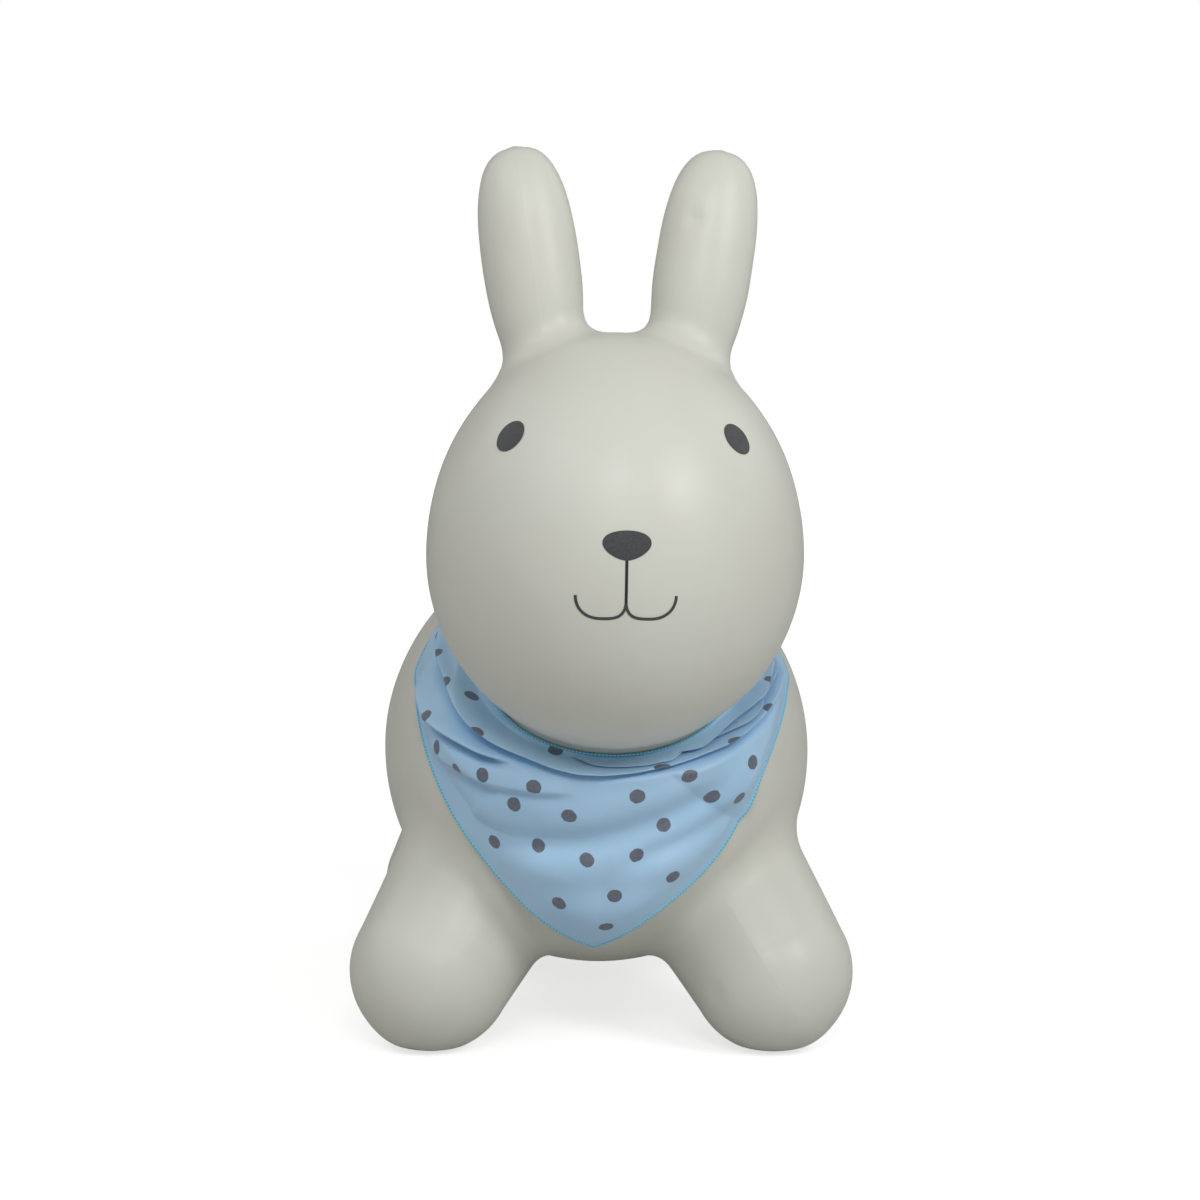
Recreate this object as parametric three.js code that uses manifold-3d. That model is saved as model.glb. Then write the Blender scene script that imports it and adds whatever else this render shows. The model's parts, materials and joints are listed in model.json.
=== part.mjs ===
// Animal hopper ball: an inflated rabbit to ride on, with a bandana round its neck.
// Millimetres, +Z up. The rabbit looks along -Y, its own left side is +X, and it stands on z = 0.
import * as THREE from 'three';
import { mergeVertices } from 'three/addons/utils/BufferGeometryUtils.js';
import loadManifold from 'manifold-3d';

const wasm = await loadManifold();
wasm.setup();

// Skin of soft PVC
const WALL = 1.8;
const SEAM_GAP = 0.3;

// Trunk
const TRUNK_WIDTH = 270;
const TRUNK_LENGTH = 380;
const TRUNK_HEIGHT = 268;
const BELLY_CLEARANCE = 32;
const TRUNK_BEHIND_ORIGIN = 44.5;

// Head, measured from its widest level, with its centre set back from the trunk's front end
const HEAD_WIDTH = 216;
const HEAD_DEPTH = 224;
const HEAD_CROWN = 126;
const HEAD_CHIN = 112;
const HEAD_SETBACK = 10;
const HEAD_ABOVE_TRUNK = 140;

// Legs: hip and foot centres are set back from the nearer end of the trunk
const LEG_DIAMETER = 99;
const SOLE_DIAMETER = 31;
const HIP_HEIGHT = 112;
const FRONT_HIP_SPREAD = 124;
const FRONT_HIP_SETBACK = 120;
const FRONT_FOOT_SPREAD = 206;
const FRONT_FOOT_SETBACK = 74;
const REAR_HIP_SPREAD = 116;
const REAR_HIP_SETBACK = 110;
const REAR_FOOT_SPREAD = 176;
const REAR_FOOT_SETBACK = 50;

// Ears: each one turns on a ball at its root
const EAR_SPACING = 82.6;
const EAR_BEHIND_HEAD_CENTRE = 14;
const EAR_SEAT_DEPTH = 6;
const EAR_LENGTH = 98;
const EAR_ROOT_WIDTH = 40;
const EAR_MIDDLE_WIDTH = 56;
const EAR_TIP_WIDTH = 50;
const EAR_TIP_HEIGHT = 25.5;
const EAR_DEPTH_SHARE = 0.84;
const EAR_BALL_OVERSIZE = 7;
const EAR_AIRWAY_DIAMETER = 20;
const EAR_SPLAY = THREE.MathUtils.degToRad(8.6);
const EAR_RAKE = THREE.MathUtils.degToRad(8);
const EAR_SWING = THREE.MathUtils.degToRad(25);
const EAR_SWING_CLEARANCE = 0.6;

// Tail
const TAIL_DIAMETER = 52;
const TAIL_RISE = THREE.MathUtils.degToRad(25);
const TAIL_PROUD = 5;

// Face print
const INK = 0.4;
const EYE_DIAMETER = 20;
const EYE_SPACING = 124;
const EYE_LEVEL = 69.5;
const NOSE_WIDTH = 27;
const NOSE_TOP = 22;
const NOSE_BOTTOM = 6;
const NOSE_SHOULDER = 16;
const NOSE_CHEEK = 10.5;
const MOUTH_LINE = 1.8;
const MOUTH_FORK_LEVEL = -17;
const MOUTH_LOW_LEVEL = -25.5;
const MOUTH_END_LEVEL = -13;
const MOUTH_CHEEK_LEVEL = -20.5;
const MOUTH_CHEEK_SHARE = 0.8;
const MOUTH_WIDTH = 54;

// Air valve
const VALVE_ANGLE = THREE.MathUtils.degToRad(-38);
const VALVE_BORE = 10;
const VALVE_NECK = 18;
const VALVE_NECK_DEPTH = 9;
const VALVE_FLANGE = 28;
const VALVE_FLANGE_THICKNESS = 2.4;
const PLUG_CLEARANCE = 0.3;
const PLUG_DEPTH = 14;
const PLUG_FLANGE = 17;
const PLUG_FLANGE_THICKNESS = 1.8;
const PLUG_KNOB = 9;
const PLUG_KNOB_HEIGHT = 4;

// Bandana, folded round the neck
const CLOTH = 1.2;
const CLOTH_LIFT = 0.6;
const COLLAR_INNER_MARGIN = 9;
const COLLAR_FRONT_WIDTH = 19;
const COLLAR_SHOULDER_WIDTH = 43;
const COLLAR_NAPE_WIDTH = 24;
const COLLAR_SHOULDER_ANGLE = THREE.MathUtils.degToRad(98);
const COLLAR_END_ANGLE = THREE.MathUtils.degToRad(166);
const COLLAR_PLEAT_HEIGHT = 5;
const COLLAR_PLEATS = 3;
const BIB_CORNER_ANGLE = THREE.MathUtils.degToRad(62);
const BIB_TOP_GAP = 1.2;
const BIB_TIP_ABOVE_BELLY = 36;
const BIB_TIP_OFFSET = -5;
const BIB_EDGE_BULGE = 15;
const BIB_FOLD_HEIGHT = 3.5;
const BIB_FOLDS = 2.5;
const HEM_DIAMETER = 2;
const HEM_END_TURN = 0.02;
const KNOT_WIDTH = 32;
const KNOT_THICKNESS = 24;
const KNOT_CLEARANCE = 0.3;
const SCARF_END_LENGTH = 88;
const SCARF_END_WIDTH = 40;
const SCARF_END_ROOT_WIDTH = 15;
const SCARF_END_WIDEST_SHARE = 0.5;
const SCARF_END_ANGLE = THREE.MathUtils.degToRad(38);
const SCARF_END_KNOT_GAP = 1.6;
const SCARF_END_FOLD_HEIGHT = 4;

// Fineness of the curved surfaces
const TRUNK_STEPS = { columns: 32, rows: 18 };
const HEAD_STEPS = { columns: 28, rows: 16 };
const HOLLOW_SHARE = 0.75;
const LEG_SIDES = 18;
const LEG_BALL_STEPS = 3;
const TAIL_STEPS = { columns: 14, rows: 8 };
const EAR_SIDES = 16;
const EAR_TIP_STEPS = 2;
const EAR_SIDE_SHARES = [0.8, 0.6, 0.4, 0.25];
const EAR_BALL_STEPS = 6;
const EYE_STEPS = { columns: 16, rows: 2 };
const NOSE_STEPS = { columns: 18, rows: 3 };
const MOUTH_STEPS = { columns: 22, rows: 1 };
const VALVE_SIDES = 24;
const COLLAR_STEPS = { columns: 44, rows: 9 };
const BIB_STEPS = { columns: 24, rows: 12 };
const HEM_STEPS = 40;
const HEM_SIDES = 6;
const KNOT_STEPS = { columns: 16, rows: 10 };
const SCARF_END_STEPS = { columns: 8, rows: 10 };
const CREASE_HALVINGS = 40;
const WELD = 1e-4;

const AXIS_X = new THREE.Vector3(1, 0, 0);
const AXIS_Y = new THREE.Vector3(0, 1, 0);
const AXIS_Z = new THREE.Vector3(0, 0, 1);
const { lerp, smoothstep } = THREE.MathUtils;

const pvc = new THREE.MeshStandardMaterial({ color: 0xd6d6ca, roughness: 0.42, metalness: 0 });
const ink = new THREE.MeshStandardMaterial({ color: 0x46494a, roughness: 0.5, metalness: 0 });
const valveVinyl = new THREE.MeshStandardMaterial({ color: 0xe4e4dc, roughness: 0.35, metalness: 0 });
const satin = new THREE.MeshStandardMaterial({ color: 0xa4c4de, roughness: 0.6, metalness: 0 });
const thread = new THREE.MeshStandardMaterial({ color: 0x5fbee1, roughness: 0.7, metalness: 0 });

// Solids and meshes

function signedVolume(position, faces) {
  const a = new THREE.Vector3();
  const b = new THREE.Vector3();
  const c = new THREE.Vector3();
  let volume = 0;
  for (let i = 0; i < faces.length; i += 3) {
    a.fromArray(position, 3 * faces[i]);
    b.fromArray(position, 3 * faces[i + 1]);
    c.fromArray(position, 3 * faces[i + 2]);
    volume += a.dot(b.cross(c)) / 6;
  }
  return volume;
}

// Welds a closed surface, drops its collapsed faces and turns it to face outwards.
function toSolid(geometry) {
  const bare = geometry.clone();
  bare.deleteAttribute('normal');
  bare.deleteAttribute('uv');
  const welded = mergeVertices(bare, WELD);
  const position = new Float32Array(welded.attributes.position.array);
  const faces = [];
  for (let i = 0; i < welded.index.count; i += 3) {
    const [a, b, c] = [0, 1, 2].map((corner) => welded.index.getX(i + corner));
    if (a !== b && b !== c && c !== a) faces.push(a, b, c);
  }
  if (signedVolume(position, faces) < 0) faces.reverse();
  const triVerts = new Uint32Array(faces);
  return new wasm.Manifold(new wasm.Mesh({ numProp: 3, vertProperties: position, triVerts }));
}

function toMesh(name, solid, material) {
  const { vertProperties, triVerts } = solid.getMesh();
  const geometry = new THREE.BufferGeometry();
  geometry.setAttribute('position', new THREE.BufferAttribute(vertProperties, 3));
  geometry.setIndex(new THREE.BufferAttribute(triVerts, 1));
  geometry.computeVertexNormals();
  const mesh = new THREE.Mesh(geometry, material);
  mesh.name = name;
  return mesh;
}

function cut(solid, ...cutters) {
  return cutters.reduce((rest, cutter) => rest.subtract(cutter), solid);
}

// Closed solid between an outer and an inner sheet of points. at(s, t, layer) gives a point for
// s and t from 0 to 1 and layer 0 (inner) or 1 (outer). A loop joins s = 1 to s = 0.
function sheetSolid({ columns, rows }, at, loop = false) {
  const points = [];
  const faces = [];
  const stride = rows + 1;
  const layerSize = (columns + 1) * stride;
  for (const layer of [0, 1]) {
    for (let i = 0; i <= columns; i += 1) {
      for (let j = 0; j <= rows; j += 1) {
        points.push(...at(loop && i === columns ? 0 : i / columns, j / rows, layer).toArray());
      }
    }
  }
  const quad = (a, b, c, d) => faces.push(a, b, c, a, c, d);
  for (let i = 0; i < columns; i += 1) {
    for (let j = 0; j < rows; j += 1) {
      const a = i * stride + j;
      const b = a + stride;
      quad(a, a + 1, b + 1, b);
      quad(layerSize + a, layerSize + b, layerSize + b + 1, layerSize + a + 1);
    }
  }
  const wall = (a, b) => quad(a, b, b + layerSize, a + layerSize);
  for (let i = 0; i < columns; i += 1) {
    wall(i * stride, (i + 1) * stride);
    wall((i + 1) * stride + rows, i * stride + rows);
  }
  for (let j = 0; j < rows && !loop; j += 1) {
    wall(j + 1, j);
    wall(columns * stride + j, columns * stride + j + 1);
  }
  const geometry = new THREE.BufferGeometry();
  geometry.setAttribute('position', new THREE.Float32BufferAttribute(points, 3));
  geometry.setIndex(faces);
  return toSolid(geometry);
}

// Egg: an ellipsoid whose part above its widest level may be taller than the part below.
class Egg {
  constructor(centre, width, length, above, below) {
    Object.assign(this, { centre, above, below });
    this.halfWidth = width / 2;
    this.halfLength = length / 2;
  }

  half(z, inset = 0) {
    const height = z > 0 ? this.above : this.below;
    return new THREE.Vector3(this.halfWidth, this.halfLength, height).subScalar(inset);
  }

  solid(inset, { columns, rows }, lieDown) {
    const geometry = new THREE.SphereGeometry(1, columns, rows);
    if (!lieDown) geometry.rotateX(Math.PI / 2);
    const point = new THREE.Vector3();
    const { position } = geometry.attributes;
    for (let i = 0; i < position.count; i += 1) {
      point.fromBufferAttribute(position, i);
      point.multiply(this.half(point.z, inset)).add(this.centre);
      position.setXYZ(i, ...point.toArray());
    }
    return toSolid(geometry);
  }

  // Below 1 inside the egg, above 1 outside it. A margin makes the egg that much larger all round.
  reach(point, margin = 0) {
    const offset = point.clone().sub(this.centre);
    return offset.divide(this.half(offset.z, -margin)).length();
  }

  normal(point) {
    const offset = point.clone().sub(this.centre);
    const half = this.half(offset.z);
    return offset.divide(half).divide(half).normalize();
  }

  lift(point, height) {
    return point.clone().addScaledVector(this.normal(point), height);
  }

  // Surface point straight out from the centre through a point.
  radial(point) {
    const offset = point.clone().sub(this.centre);
    return offset.divideScalar(this.reach(point)).add(this.centre);
  }

  // Last surface point that a line meets on its way along a direction.
  along(origin, direction) {
    const half = this.half(1);
    const from = origin.clone().sub(this.centre).divide(half);
    const step = direction.clone().divide(half);
    const a = step.lengthSq();
    const b = from.dot(step);
    const depth = Math.max(b * b - a * (from.lengthSq() - 1), 0);
    return origin.clone().addScaledVector(direction, (Math.sqrt(depth) - b) / a);
  }
}

// Main lobes of the skin

const trunkCentre = new THREE.Vector3(0, TRUNK_BEHIND_ORIGIN, BELLY_CLEARANCE + TRUNK_HEIGHT / 2);
const trunk = new Egg(trunkCentre, TRUNK_WIDTH, TRUNK_LENGTH, TRUNK_HEIGHT / 2, TRUNK_HEIGHT / 2);
const headCentre = trunkCentre.clone().add(new THREE.Vector3(0, HEAD_SETBACK - TRUNK_LENGTH / 2, HEAD_ABOVE_TRUNK));
const head = new Egg(headCentre, HEAD_WIDTH, HEAD_DEPTH, HEAD_CROWN, HEAD_CHIN);

function hollowSteps({ columns, rows }) {
  return { columns: Math.round(columns * HOLLOW_SHARE), rows: Math.round(rows * HOLLOW_SHARE) };
}

const trunkSolid = trunk.solid(0, TRUNK_STEPS, true);
const trunkHollow = trunk.solid(WALL, hollowSteps(TRUNK_STEPS), true);
const trunkSeat = trunk.solid(-SEAM_GAP, TRUNK_STEPS, true);
const headSolid = head.solid(0, HEAD_STEPS, false);
const headHollow = head.solid(WALL, hollowSteps(HEAD_STEPS), false);

// Legs

// Place along the trunk, set back from its front end (-1) or its rear end (1).
function trunkEnd(end, setback) {
  return trunkCentre.y + end * (TRUNK_LENGTH / 2 - setback);
}

const LEG_RADIUS = LEG_DIAMETER / 2;
const FOOT_CENTRE_HEIGHT = Math.sqrt(LEG_RADIUS ** 2 - (SOLE_DIAMETER / 2) ** 2);
const legs = [
  ['front_left_leg', 1, -1, FRONT_HIP_SPREAD, FRONT_HIP_SETBACK, FRONT_FOOT_SPREAD, FRONT_FOOT_SETBACK],
  ['front_right_leg', -1, -1, FRONT_HIP_SPREAD, FRONT_HIP_SETBACK, FRONT_FOOT_SPREAD, FRONT_FOOT_SETBACK],
  ['rear_left_leg', 1, 1, REAR_HIP_SPREAD, REAR_HIP_SETBACK, REAR_FOOT_SPREAD, REAR_FOOT_SETBACK],
  ['rear_right_leg', -1, 1, REAR_HIP_SPREAD, REAR_HIP_SETBACK, REAR_FOOT_SPREAD, REAR_FOOT_SETBACK],
].map(([name, side, end, hipSpread, hipSetback, footSpread, footSetback]) => ({
  name,
  hip: new THREE.Vector3((side * hipSpread) / 2, trunkEnd(end, hipSetback), HIP_HEIGHT),
  foot: new THREE.Vector3((side * footSpread) / 2, trunkEnd(end, footSetback), FOOT_CENTRE_HEIGHT),
}));

function floorBlock(top) {
  const block = new THREE.BoxGeometry(2 * TRUNK_WIDTH, 2 * TRUNK_LENGTH, LEG_DIAMETER);
  return toSolid(block.translate(0, trunkCentre.y, top - LEG_DIAMETER / 2));
}

// Round leg with a ball end, made along its own axis and then laid from hip to foot.
function legForm({ hip, foot }, inset) {
  const radius = LEG_RADIUS - inset;
  const length = hip.distanceTo(foot);
  const ball = new THREE.Path().absarc(0, length, radius, 0, Math.PI / 2);
  const profile = [new THREE.Vector2(0, inset), new THREE.Vector2(radius, inset), ...ball.getPoints(LEG_BALL_STEPS)];
  const geometry = new THREE.LatheGeometry(profile, LEG_SIDES);
  const direction = foot.clone().sub(hip).normalize();
  geometry.applyQuaternion(new THREE.Quaternion().setFromUnitVectors(AXIS_Y, direction));
  geometry.translate(hip.x, hip.y, hip.z);
  return cut(toSolid(geometry), floorBlock(inset));
}

const legHollows = legs.map((leg) => legForm(leg, WALL));

function legMesh(leg, index) {
  return toMesh(leg.name, cut(legForm(leg, 0), legHollows[index], trunkSeat), pvc);
}

// Tail

const rumpPoint = new THREE.Vector3(
  0,
  trunkCentre.y + (TRUNK_LENGTH / 2) * Math.cos(TAIL_RISE),
  trunkCentre.z + (TRUNK_HEIGHT / 2) * Math.sin(TAIL_RISE),
);

function tailForm(inset) {
  const centre = trunk.lift(rumpPoint, TAIL_PROUD);
  const ball = new THREE.SphereGeometry(TAIL_DIAMETER / 2 - inset, TAIL_STEPS.columns, TAIL_STEPS.rows);
  return toSolid(ball.translate(centre.x, centre.y, centre.z));
}

const tailHollow = tailForm(WALL);
const tailMesh = toMesh('tail', cut(tailForm(0), tailHollow, trunkSeat), pvc);

// Ears: z runs up the ear from its ball, and x is the pin line that the ear bends about

const EAR_BALL_RADIUS = ((EAR_ROOT_WIDTH + EAR_BALL_OVERSIZE) / 2) * EAR_DEPTH_SHARE;

// Half the ear's thickness at a share of the way from its root to the centre of its round tip.
function earRadius(share) {
  const [root, middle, tip] = [EAR_ROOT_WIDTH, EAR_MIDDLE_WIDTH, EAR_TIP_WIDTH];
  const width = root * (1 - share) * (1 - 2 * share) + 4 * middle * share * (1 - share)
    + tip * share * (2 * share - 1);
  return (width / 2) * EAR_DEPTH_SHARE;
}

// Outline of the ear from the tip down to the ball, which stops at the airway.
function earOutline(inset) {
  const tipRadius = earRadius(1) - inset;
  const ballRadius = EAR_BALL_RADIUS - inset;
  const rootAngle = Math.asin((earRadius(0) - inset) / ballRadius);
  const lastAngle = Math.PI - Math.asin(EAR_AIRWAY_DIAMETER / 2 / ballRadius);
  const tipHeight = EAR_TIP_HEIGHT - inset;
  const tip = new THREE.Path().absellipse(0, EAR_LENGTH, tipRadius, tipHeight, Math.PI / 2, 0, true);
  const points = tip.getPoints(EAR_TIP_STEPS);
  for (const share of EAR_SIDE_SHARES) {
    points.push(new THREE.Vector2(earRadius(share) - inset, share * EAR_LENGTH));
  }
  for (let step = 0; step <= EAR_BALL_STEPS; step += 1) {
    const angle = lerp(rootAngle, lastAngle, step / EAR_BALL_STEPS);
    points.push(new THREE.Vector2(ballRadius * Math.sin(angle), ballRadius * Math.cos(angle)));
  }
  return points;
}

function earGeometry(outline) {
  const geometry = new THREE.LatheGeometry(outline, EAR_SIDES).rotateX(Math.PI / 2);
  return geometry.scale(1 / EAR_DEPTH_SHARE, 1, 1);
}

function crownPoint(x, behind) {
  const up = Math.sqrt(Math.max(1 - (x / head.halfWidth) ** 2 - (behind / head.halfLength) ** 2, 0));
  return new THREE.Vector3(x, behind, HEAD_CROWN * up).add(headCentre);
}

const ears = [['left_ear', 1], ['right_ear', -1]].map(([name, side]) => {
  const seat = crownPoint((side * EAR_SPACING) / 2, EAR_BEHIND_HEAD_CENTRE);
  seat.z -= EAR_SEAT_DEPTH;
  const turn = new THREE.Quaternion().setFromAxisAngle(AXIS_Y, side * EAR_SPLAY);
  turn.multiply(new THREE.Quaternion().setFromAxisAngle(AXIS_X, -EAR_RAKE));
  return { name, seat, turn };
});

function earMesh({ name, seat, turn }) {
  const inside = earOutline(WALL).reverse();
  const mesh = toMesh(name, toSolid(earGeometry([...earOutline(0), ...inside])), pvc);
  mesh.position.copy(seat);
  mesh.quaternion.copy(turn);
  return mesh;
}

// Room that the ear takes up, with its clearance, when it is bent by an angle.
function earRoom({ seat, turn }, angle) {
  const outline = earOutline(-EAR_SWING_CLEARANCE);
  const bottom = new THREE.Vector2(0, outline[outline.length - 1].y);
  const geometry = earGeometry([...outline, bottom]);
  geometry.rotateX(angle).applyQuaternion(turn).translate(seat.x, seat.y, seat.z);
  return toSolid(geometry);
}

const earRooms = ears.flatMap((ear) => [-EAR_SWING, 0, EAR_SWING].map((angle) => earRoom(ear, angle)));

// Face print: patches of ink on the head, drawn in a plane in front of the face

function facePoint(x, level, lift) {
  const ahead = Math.sqrt(Math.max(1 - (x / head.halfWidth) ** 2 - (level / head.half(level).z) ** 2, 0));
  const point = new THREE.Vector3(x, -head.halfLength * ahead, level).add(headCentre);
  return head.lift(point, lift);
}

function inkLift(layer) {
  return SEAM_GAP + layer * INK;
}

function eyeMesh(name, side) {
  const centre = facePoint((side * EYE_SPACING) / 2, EYE_LEVEL, 0);
  const across = new THREE.Vector3().crossVectors(AXIS_Z, head.normal(centre)).normalize();
  const up = new THREE.Vector3().crossVectors(head.normal(centre), across);
  const at = (s, t, layer) => {
    const angle = 2 * Math.PI * s;
    const point = centre.clone();
    point.addScaledVector(across, (EYE_DIAMETER / 2) * t * Math.cos(angle));
    point.addScaledVector(up, (EYE_DIAMETER / 2) * t * Math.sin(angle));
    return head.lift(head.radial(point), inkLift(layer));
  };
  return toMesh(name, sheetSolid(EYE_STEPS, at, true), ink);
}

// Nose: a flat arch on top and a rounded point below.
function noseMesh() {
  const half = NOSE_WIDTH / 2;
  const outline = new THREE.Shape();
  outline.moveTo(half, NOSE_SHOULDER);
  outline.bezierCurveTo(half, NOSE_TOP, half / 2, NOSE_TOP, 0, NOSE_TOP);
  outline.bezierCurveTo(-half / 2, NOSE_TOP, -half, NOSE_TOP, -half, NOSE_SHOULDER);
  outline.bezierCurveTo(-half, NOSE_CHEEK, -half / 3, NOSE_BOTTOM, 0, NOSE_BOTTOM);
  outline.bezierCurveTo(half / 3, NOSE_BOTTOM, half, NOSE_CHEEK, half, NOSE_SHOULDER);
  const at = (s, t, layer) => {
    const rim = outline.getPointAt(s);
    return facePoint(rim.x * t, lerp(NOSE_SHOULDER, rim.y, t), inkLift(layer));
  };
  return toMesh('nose', sheetSolid(NOSE_STEPS, at, true), ink);
}

// Mouth: a line down from the nose that forks into two upturned ends.
function mouthMesh() {
  const strokes = [-1, 1].map((side) => {
    const stroke = new THREE.Path();
    const far = (side * MOUTH_WIDTH) / 2;
    stroke.moveTo(0, NOSE_BOTTOM - SEAM_GAP - MOUTH_LINE / 2);
    stroke.lineTo(0, MOUTH_FORK_LEVEL);
    stroke.quadraticCurveTo(side * MOUTH_LINE, MOUTH_LOW_LEVEL, far / 2, MOUTH_LOW_LEVEL);
    stroke.bezierCurveTo(far * MOUTH_CHEEK_SHARE, MOUTH_LOW_LEVEL, far, MOUTH_CHEEK_LEVEL, far, MOUTH_END_LEVEL);
    return stroke;
  });
  const [left, right] = strokes.map((stroke) => sheetSolid(MOUTH_STEPS, (s, t, layer) => {
    const point = stroke.getPointAt(s);
    const tangent = stroke.getTangentAt(s);
    const aside = (t - 0.5) * MOUTH_LINE;
    return facePoint(point.x - tangent.y * aside, point.y + tangent.x * aside, inkLift(layer));
  }));
  return toMesh('mouth', left.add(right), ink);
}

// Air valve, on the rump below the tail: y runs outwards along the valve

const valvePoint = new THREE.Vector3(
  0,
  trunkCentre.y + (TRUNK_LENGTH / 2) * Math.cos(VALVE_ANGLE),
  trunkCentre.z + (TRUNK_HEIGHT / 2) * Math.sin(VALVE_ANGLE),
);
const valveTurn = new THREE.Quaternion().setFromUnitVectors(AXIS_Y, trunk.normal(valvePoint));

function lathe(corners) {
  return new THREE.LatheGeometry(corners.map(([x, y]) => new THREE.Vector2(x, y)), VALVE_SIDES);
}

function valveHole() {
  const radius = VALVE_NECK / 2 + SEAM_GAP;
  const hole = new THREE.CylinderGeometry(radius, radius, 4 * VALVE_NECK_DEPTH, VALVE_SIDES);
  hole.applyQuaternion(valveTurn);
  return toSolid(hole.translate(valvePoint.x, valvePoint.y, valvePoint.z));
}

function valveSeatMesh() {
  const [bore, neck, flange] = [VALVE_BORE / 2, VALVE_NECK / 2, VALVE_FLANGE / 2];
  const top = SEAM_GAP + VALVE_FLANGE_THICKNESS;
  const ring = lathe([
    [bore, -VALVE_NECK_DEPTH], [neck, -VALVE_NECK_DEPTH], [neck, SEAM_GAP], [flange, SEAM_GAP],
    [flange, SEAM_GAP + VALVE_FLANGE_THICKNESS / 2], [flange - VALVE_FLANGE_THICKNESS / 2, top],
    [bore, top], [bore, -VALVE_NECK_DEPTH],
  ]);
  return toMesh('valve_seat', toSolid(ring), valveVinyl);
}

function valvePlugMesh() {
  const stem = VALVE_BORE / 2 - PLUG_CLEARANCE;
  const base = SEAM_GAP + VALVE_FLANGE_THICKNESS + PLUG_CLEARANCE;
  const top = base + PLUG_FLANGE_THICKNESS;
  const plug = lathe([
    [0, -PLUG_DEPTH], [stem / 2, -PLUG_DEPTH], [stem, -VALVE_NECK_DEPTH], [stem, base], [PLUG_FLANGE / 2, base],
    [PLUG_FLANGE / 2, top], [PLUG_KNOB / 2, top], [PLUG_KNOB / 2, top + PLUG_KNOB_HEIGHT],
    [0, top + PLUG_KNOB_HEIGHT],
  ]);
  return toMesh('valve_plug', toSolid(plug), valveVinyl);
}

function valveGroup() {
  const group = new THREE.Group();
  group.position.copy(valvePoint);
  group.quaternion.copy(valveTurn);
  group.add(valveSeatMesh(), valvePlugMesh());
  return group;
}

// Neck: the loop where head and trunk meet, found on the trunk's outline in the plane of symmetry

function outlinePoint(angle) {
  const ahead = -(TRUNK_LENGTH / 2) * Math.cos(angle);
  return new THREE.Vector3(0, ahead, (TRUNK_HEIGHT / 2) * Math.sin(angle)).add(trunkCentre);
}

// Place on the trunk, between two angles, where something of a given half thickness touches the head.
function creaseBetween(outside, inside, halfThickness = 0) {
  let [far, near] = [outside, inside];
  for (let step = 0; step < CREASE_HALVINGS; step += 1) {
    const middle = (far + near) / 2;
    const point = trunk.lift(outlinePoint(middle), halfThickness);
    if (head.reach(point, halfThickness) > 1) far = middle;
    else near = middle;
  }
  return trunk.lift(outlinePoint(far), halfThickness);
}

const NAPE_SIDE = Math.PI / 4;
const chinCrease = creaseBetween(-Math.PI / 6, NAPE_SIDE);
const napeCrease = creaseBetween(Math.PI / 2, NAPE_SIDE);
const neckCentre = chinCrease.clone().lerp(napeCrease, 0.5);
const neckRadius = chinCrease.distanceTo(napeCrease) / 2;
const neckFront = chinCrease.clone().sub(neckCentre).normalize();
const neckUp = new THREE.Vector3().crossVectors(neckFront, AXIS_X).normalize();

// Point of the trunk below the neck plane: angle 0 is under the chin, beyond is measured from the crease.
function shoulderPoint(angle, beyond) {
  const origin = neckCentre.clone();
  origin.addScaledVector(neckFront, (neckRadius + beyond) * Math.cos(angle));
  origin.addScaledVector(AXIS_X, (neckRadius + beyond) * Math.sin(angle));
  return trunk.along(origin, neckUp);
}

// Bandana, upper part: pleated round the neck from one side of the knot to the other

function collarWidth(angle) {
  const turn = Math.abs(angle);
  const toShoulder = smoothstep(turn, 0, COLLAR_SHOULDER_ANGLE);
  const toNape = smoothstep(turn, COLLAR_SHOULDER_ANGLE, COLLAR_END_ANGLE);
  return lerp(lerp(COLLAR_FRONT_WIDTH, COLLAR_SHOULDER_WIDTH, toShoulder), COLLAR_NAPE_WIDTH, toNape);
}

function collarMesh() {
  const at = (s, t, layer) => {
    const angle = lerp(-COLLAR_END_ANGLE, COLLAR_END_ANGLE, s);
    const point = shoulderPoint(angle, lerp(COLLAR_INNER_MARGIN, collarWidth(angle), t));
    const pleat = COLLAR_PLEAT_HEIGHT * Math.sin(Math.PI * t) * Math.sin(COLLAR_PLEATS * Math.PI * t) ** 2;
    return trunk.lift(point, CLOTH_LIFT + pleat + layer * CLOTH);
  };
  return toMesh('scarf_collar', sheetSolid(COLLAR_STEPS, at), satin);
}

// Bandana, lower part: the point that hangs on the chest below the collar

// Moves a point that is nearer than a clearance to a leg straight out from the leg's axis.
function clearOfLegs(point, clearance) {
  const nearest = new THREE.Vector3();
  for (const { hip, foot } of legs) {
    new THREE.Line3(hip, foot).closestPointToPoint(point, true, nearest);
    const outwards = point.clone().sub(nearest);
    const missing = LEG_RADIUS + clearance - outwards.length();
    if (missing > 0) point.addScaledVector(outwards.normalize(), missing);
  }
  return point;
}

// Point of the chest seen from the front, lifted off the trunk and off the legs that stand out of it.
function chestPoint(x, z, lift) {
  const [across, up] = [x / trunk.halfWidth, (z - trunkCentre.z) / (TRUNK_HEIGHT / 2)];
  const ahead = Math.sqrt(Math.max(1 - across ** 2 - up ** 2, 0));
  const point = trunk.lift(new THREE.Vector3(x, trunkCentre.y - trunk.halfLength * ahead, z), lift);
  return clearOfLegs(point, lift);
}

function bibTop(turn) {
  const angle = lerp(-BIB_CORNER_ANGLE, BIB_CORNER_ANGLE, turn);
  return shoulderPoint(angle, collarWidth(angle) + BIB_TOP_GAP);
}

const bibTip = new THREE.Vector2(BIB_TIP_OFFSET, BELLY_CLEARANCE + BIB_TIP_ABOVE_BELLY);

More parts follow.
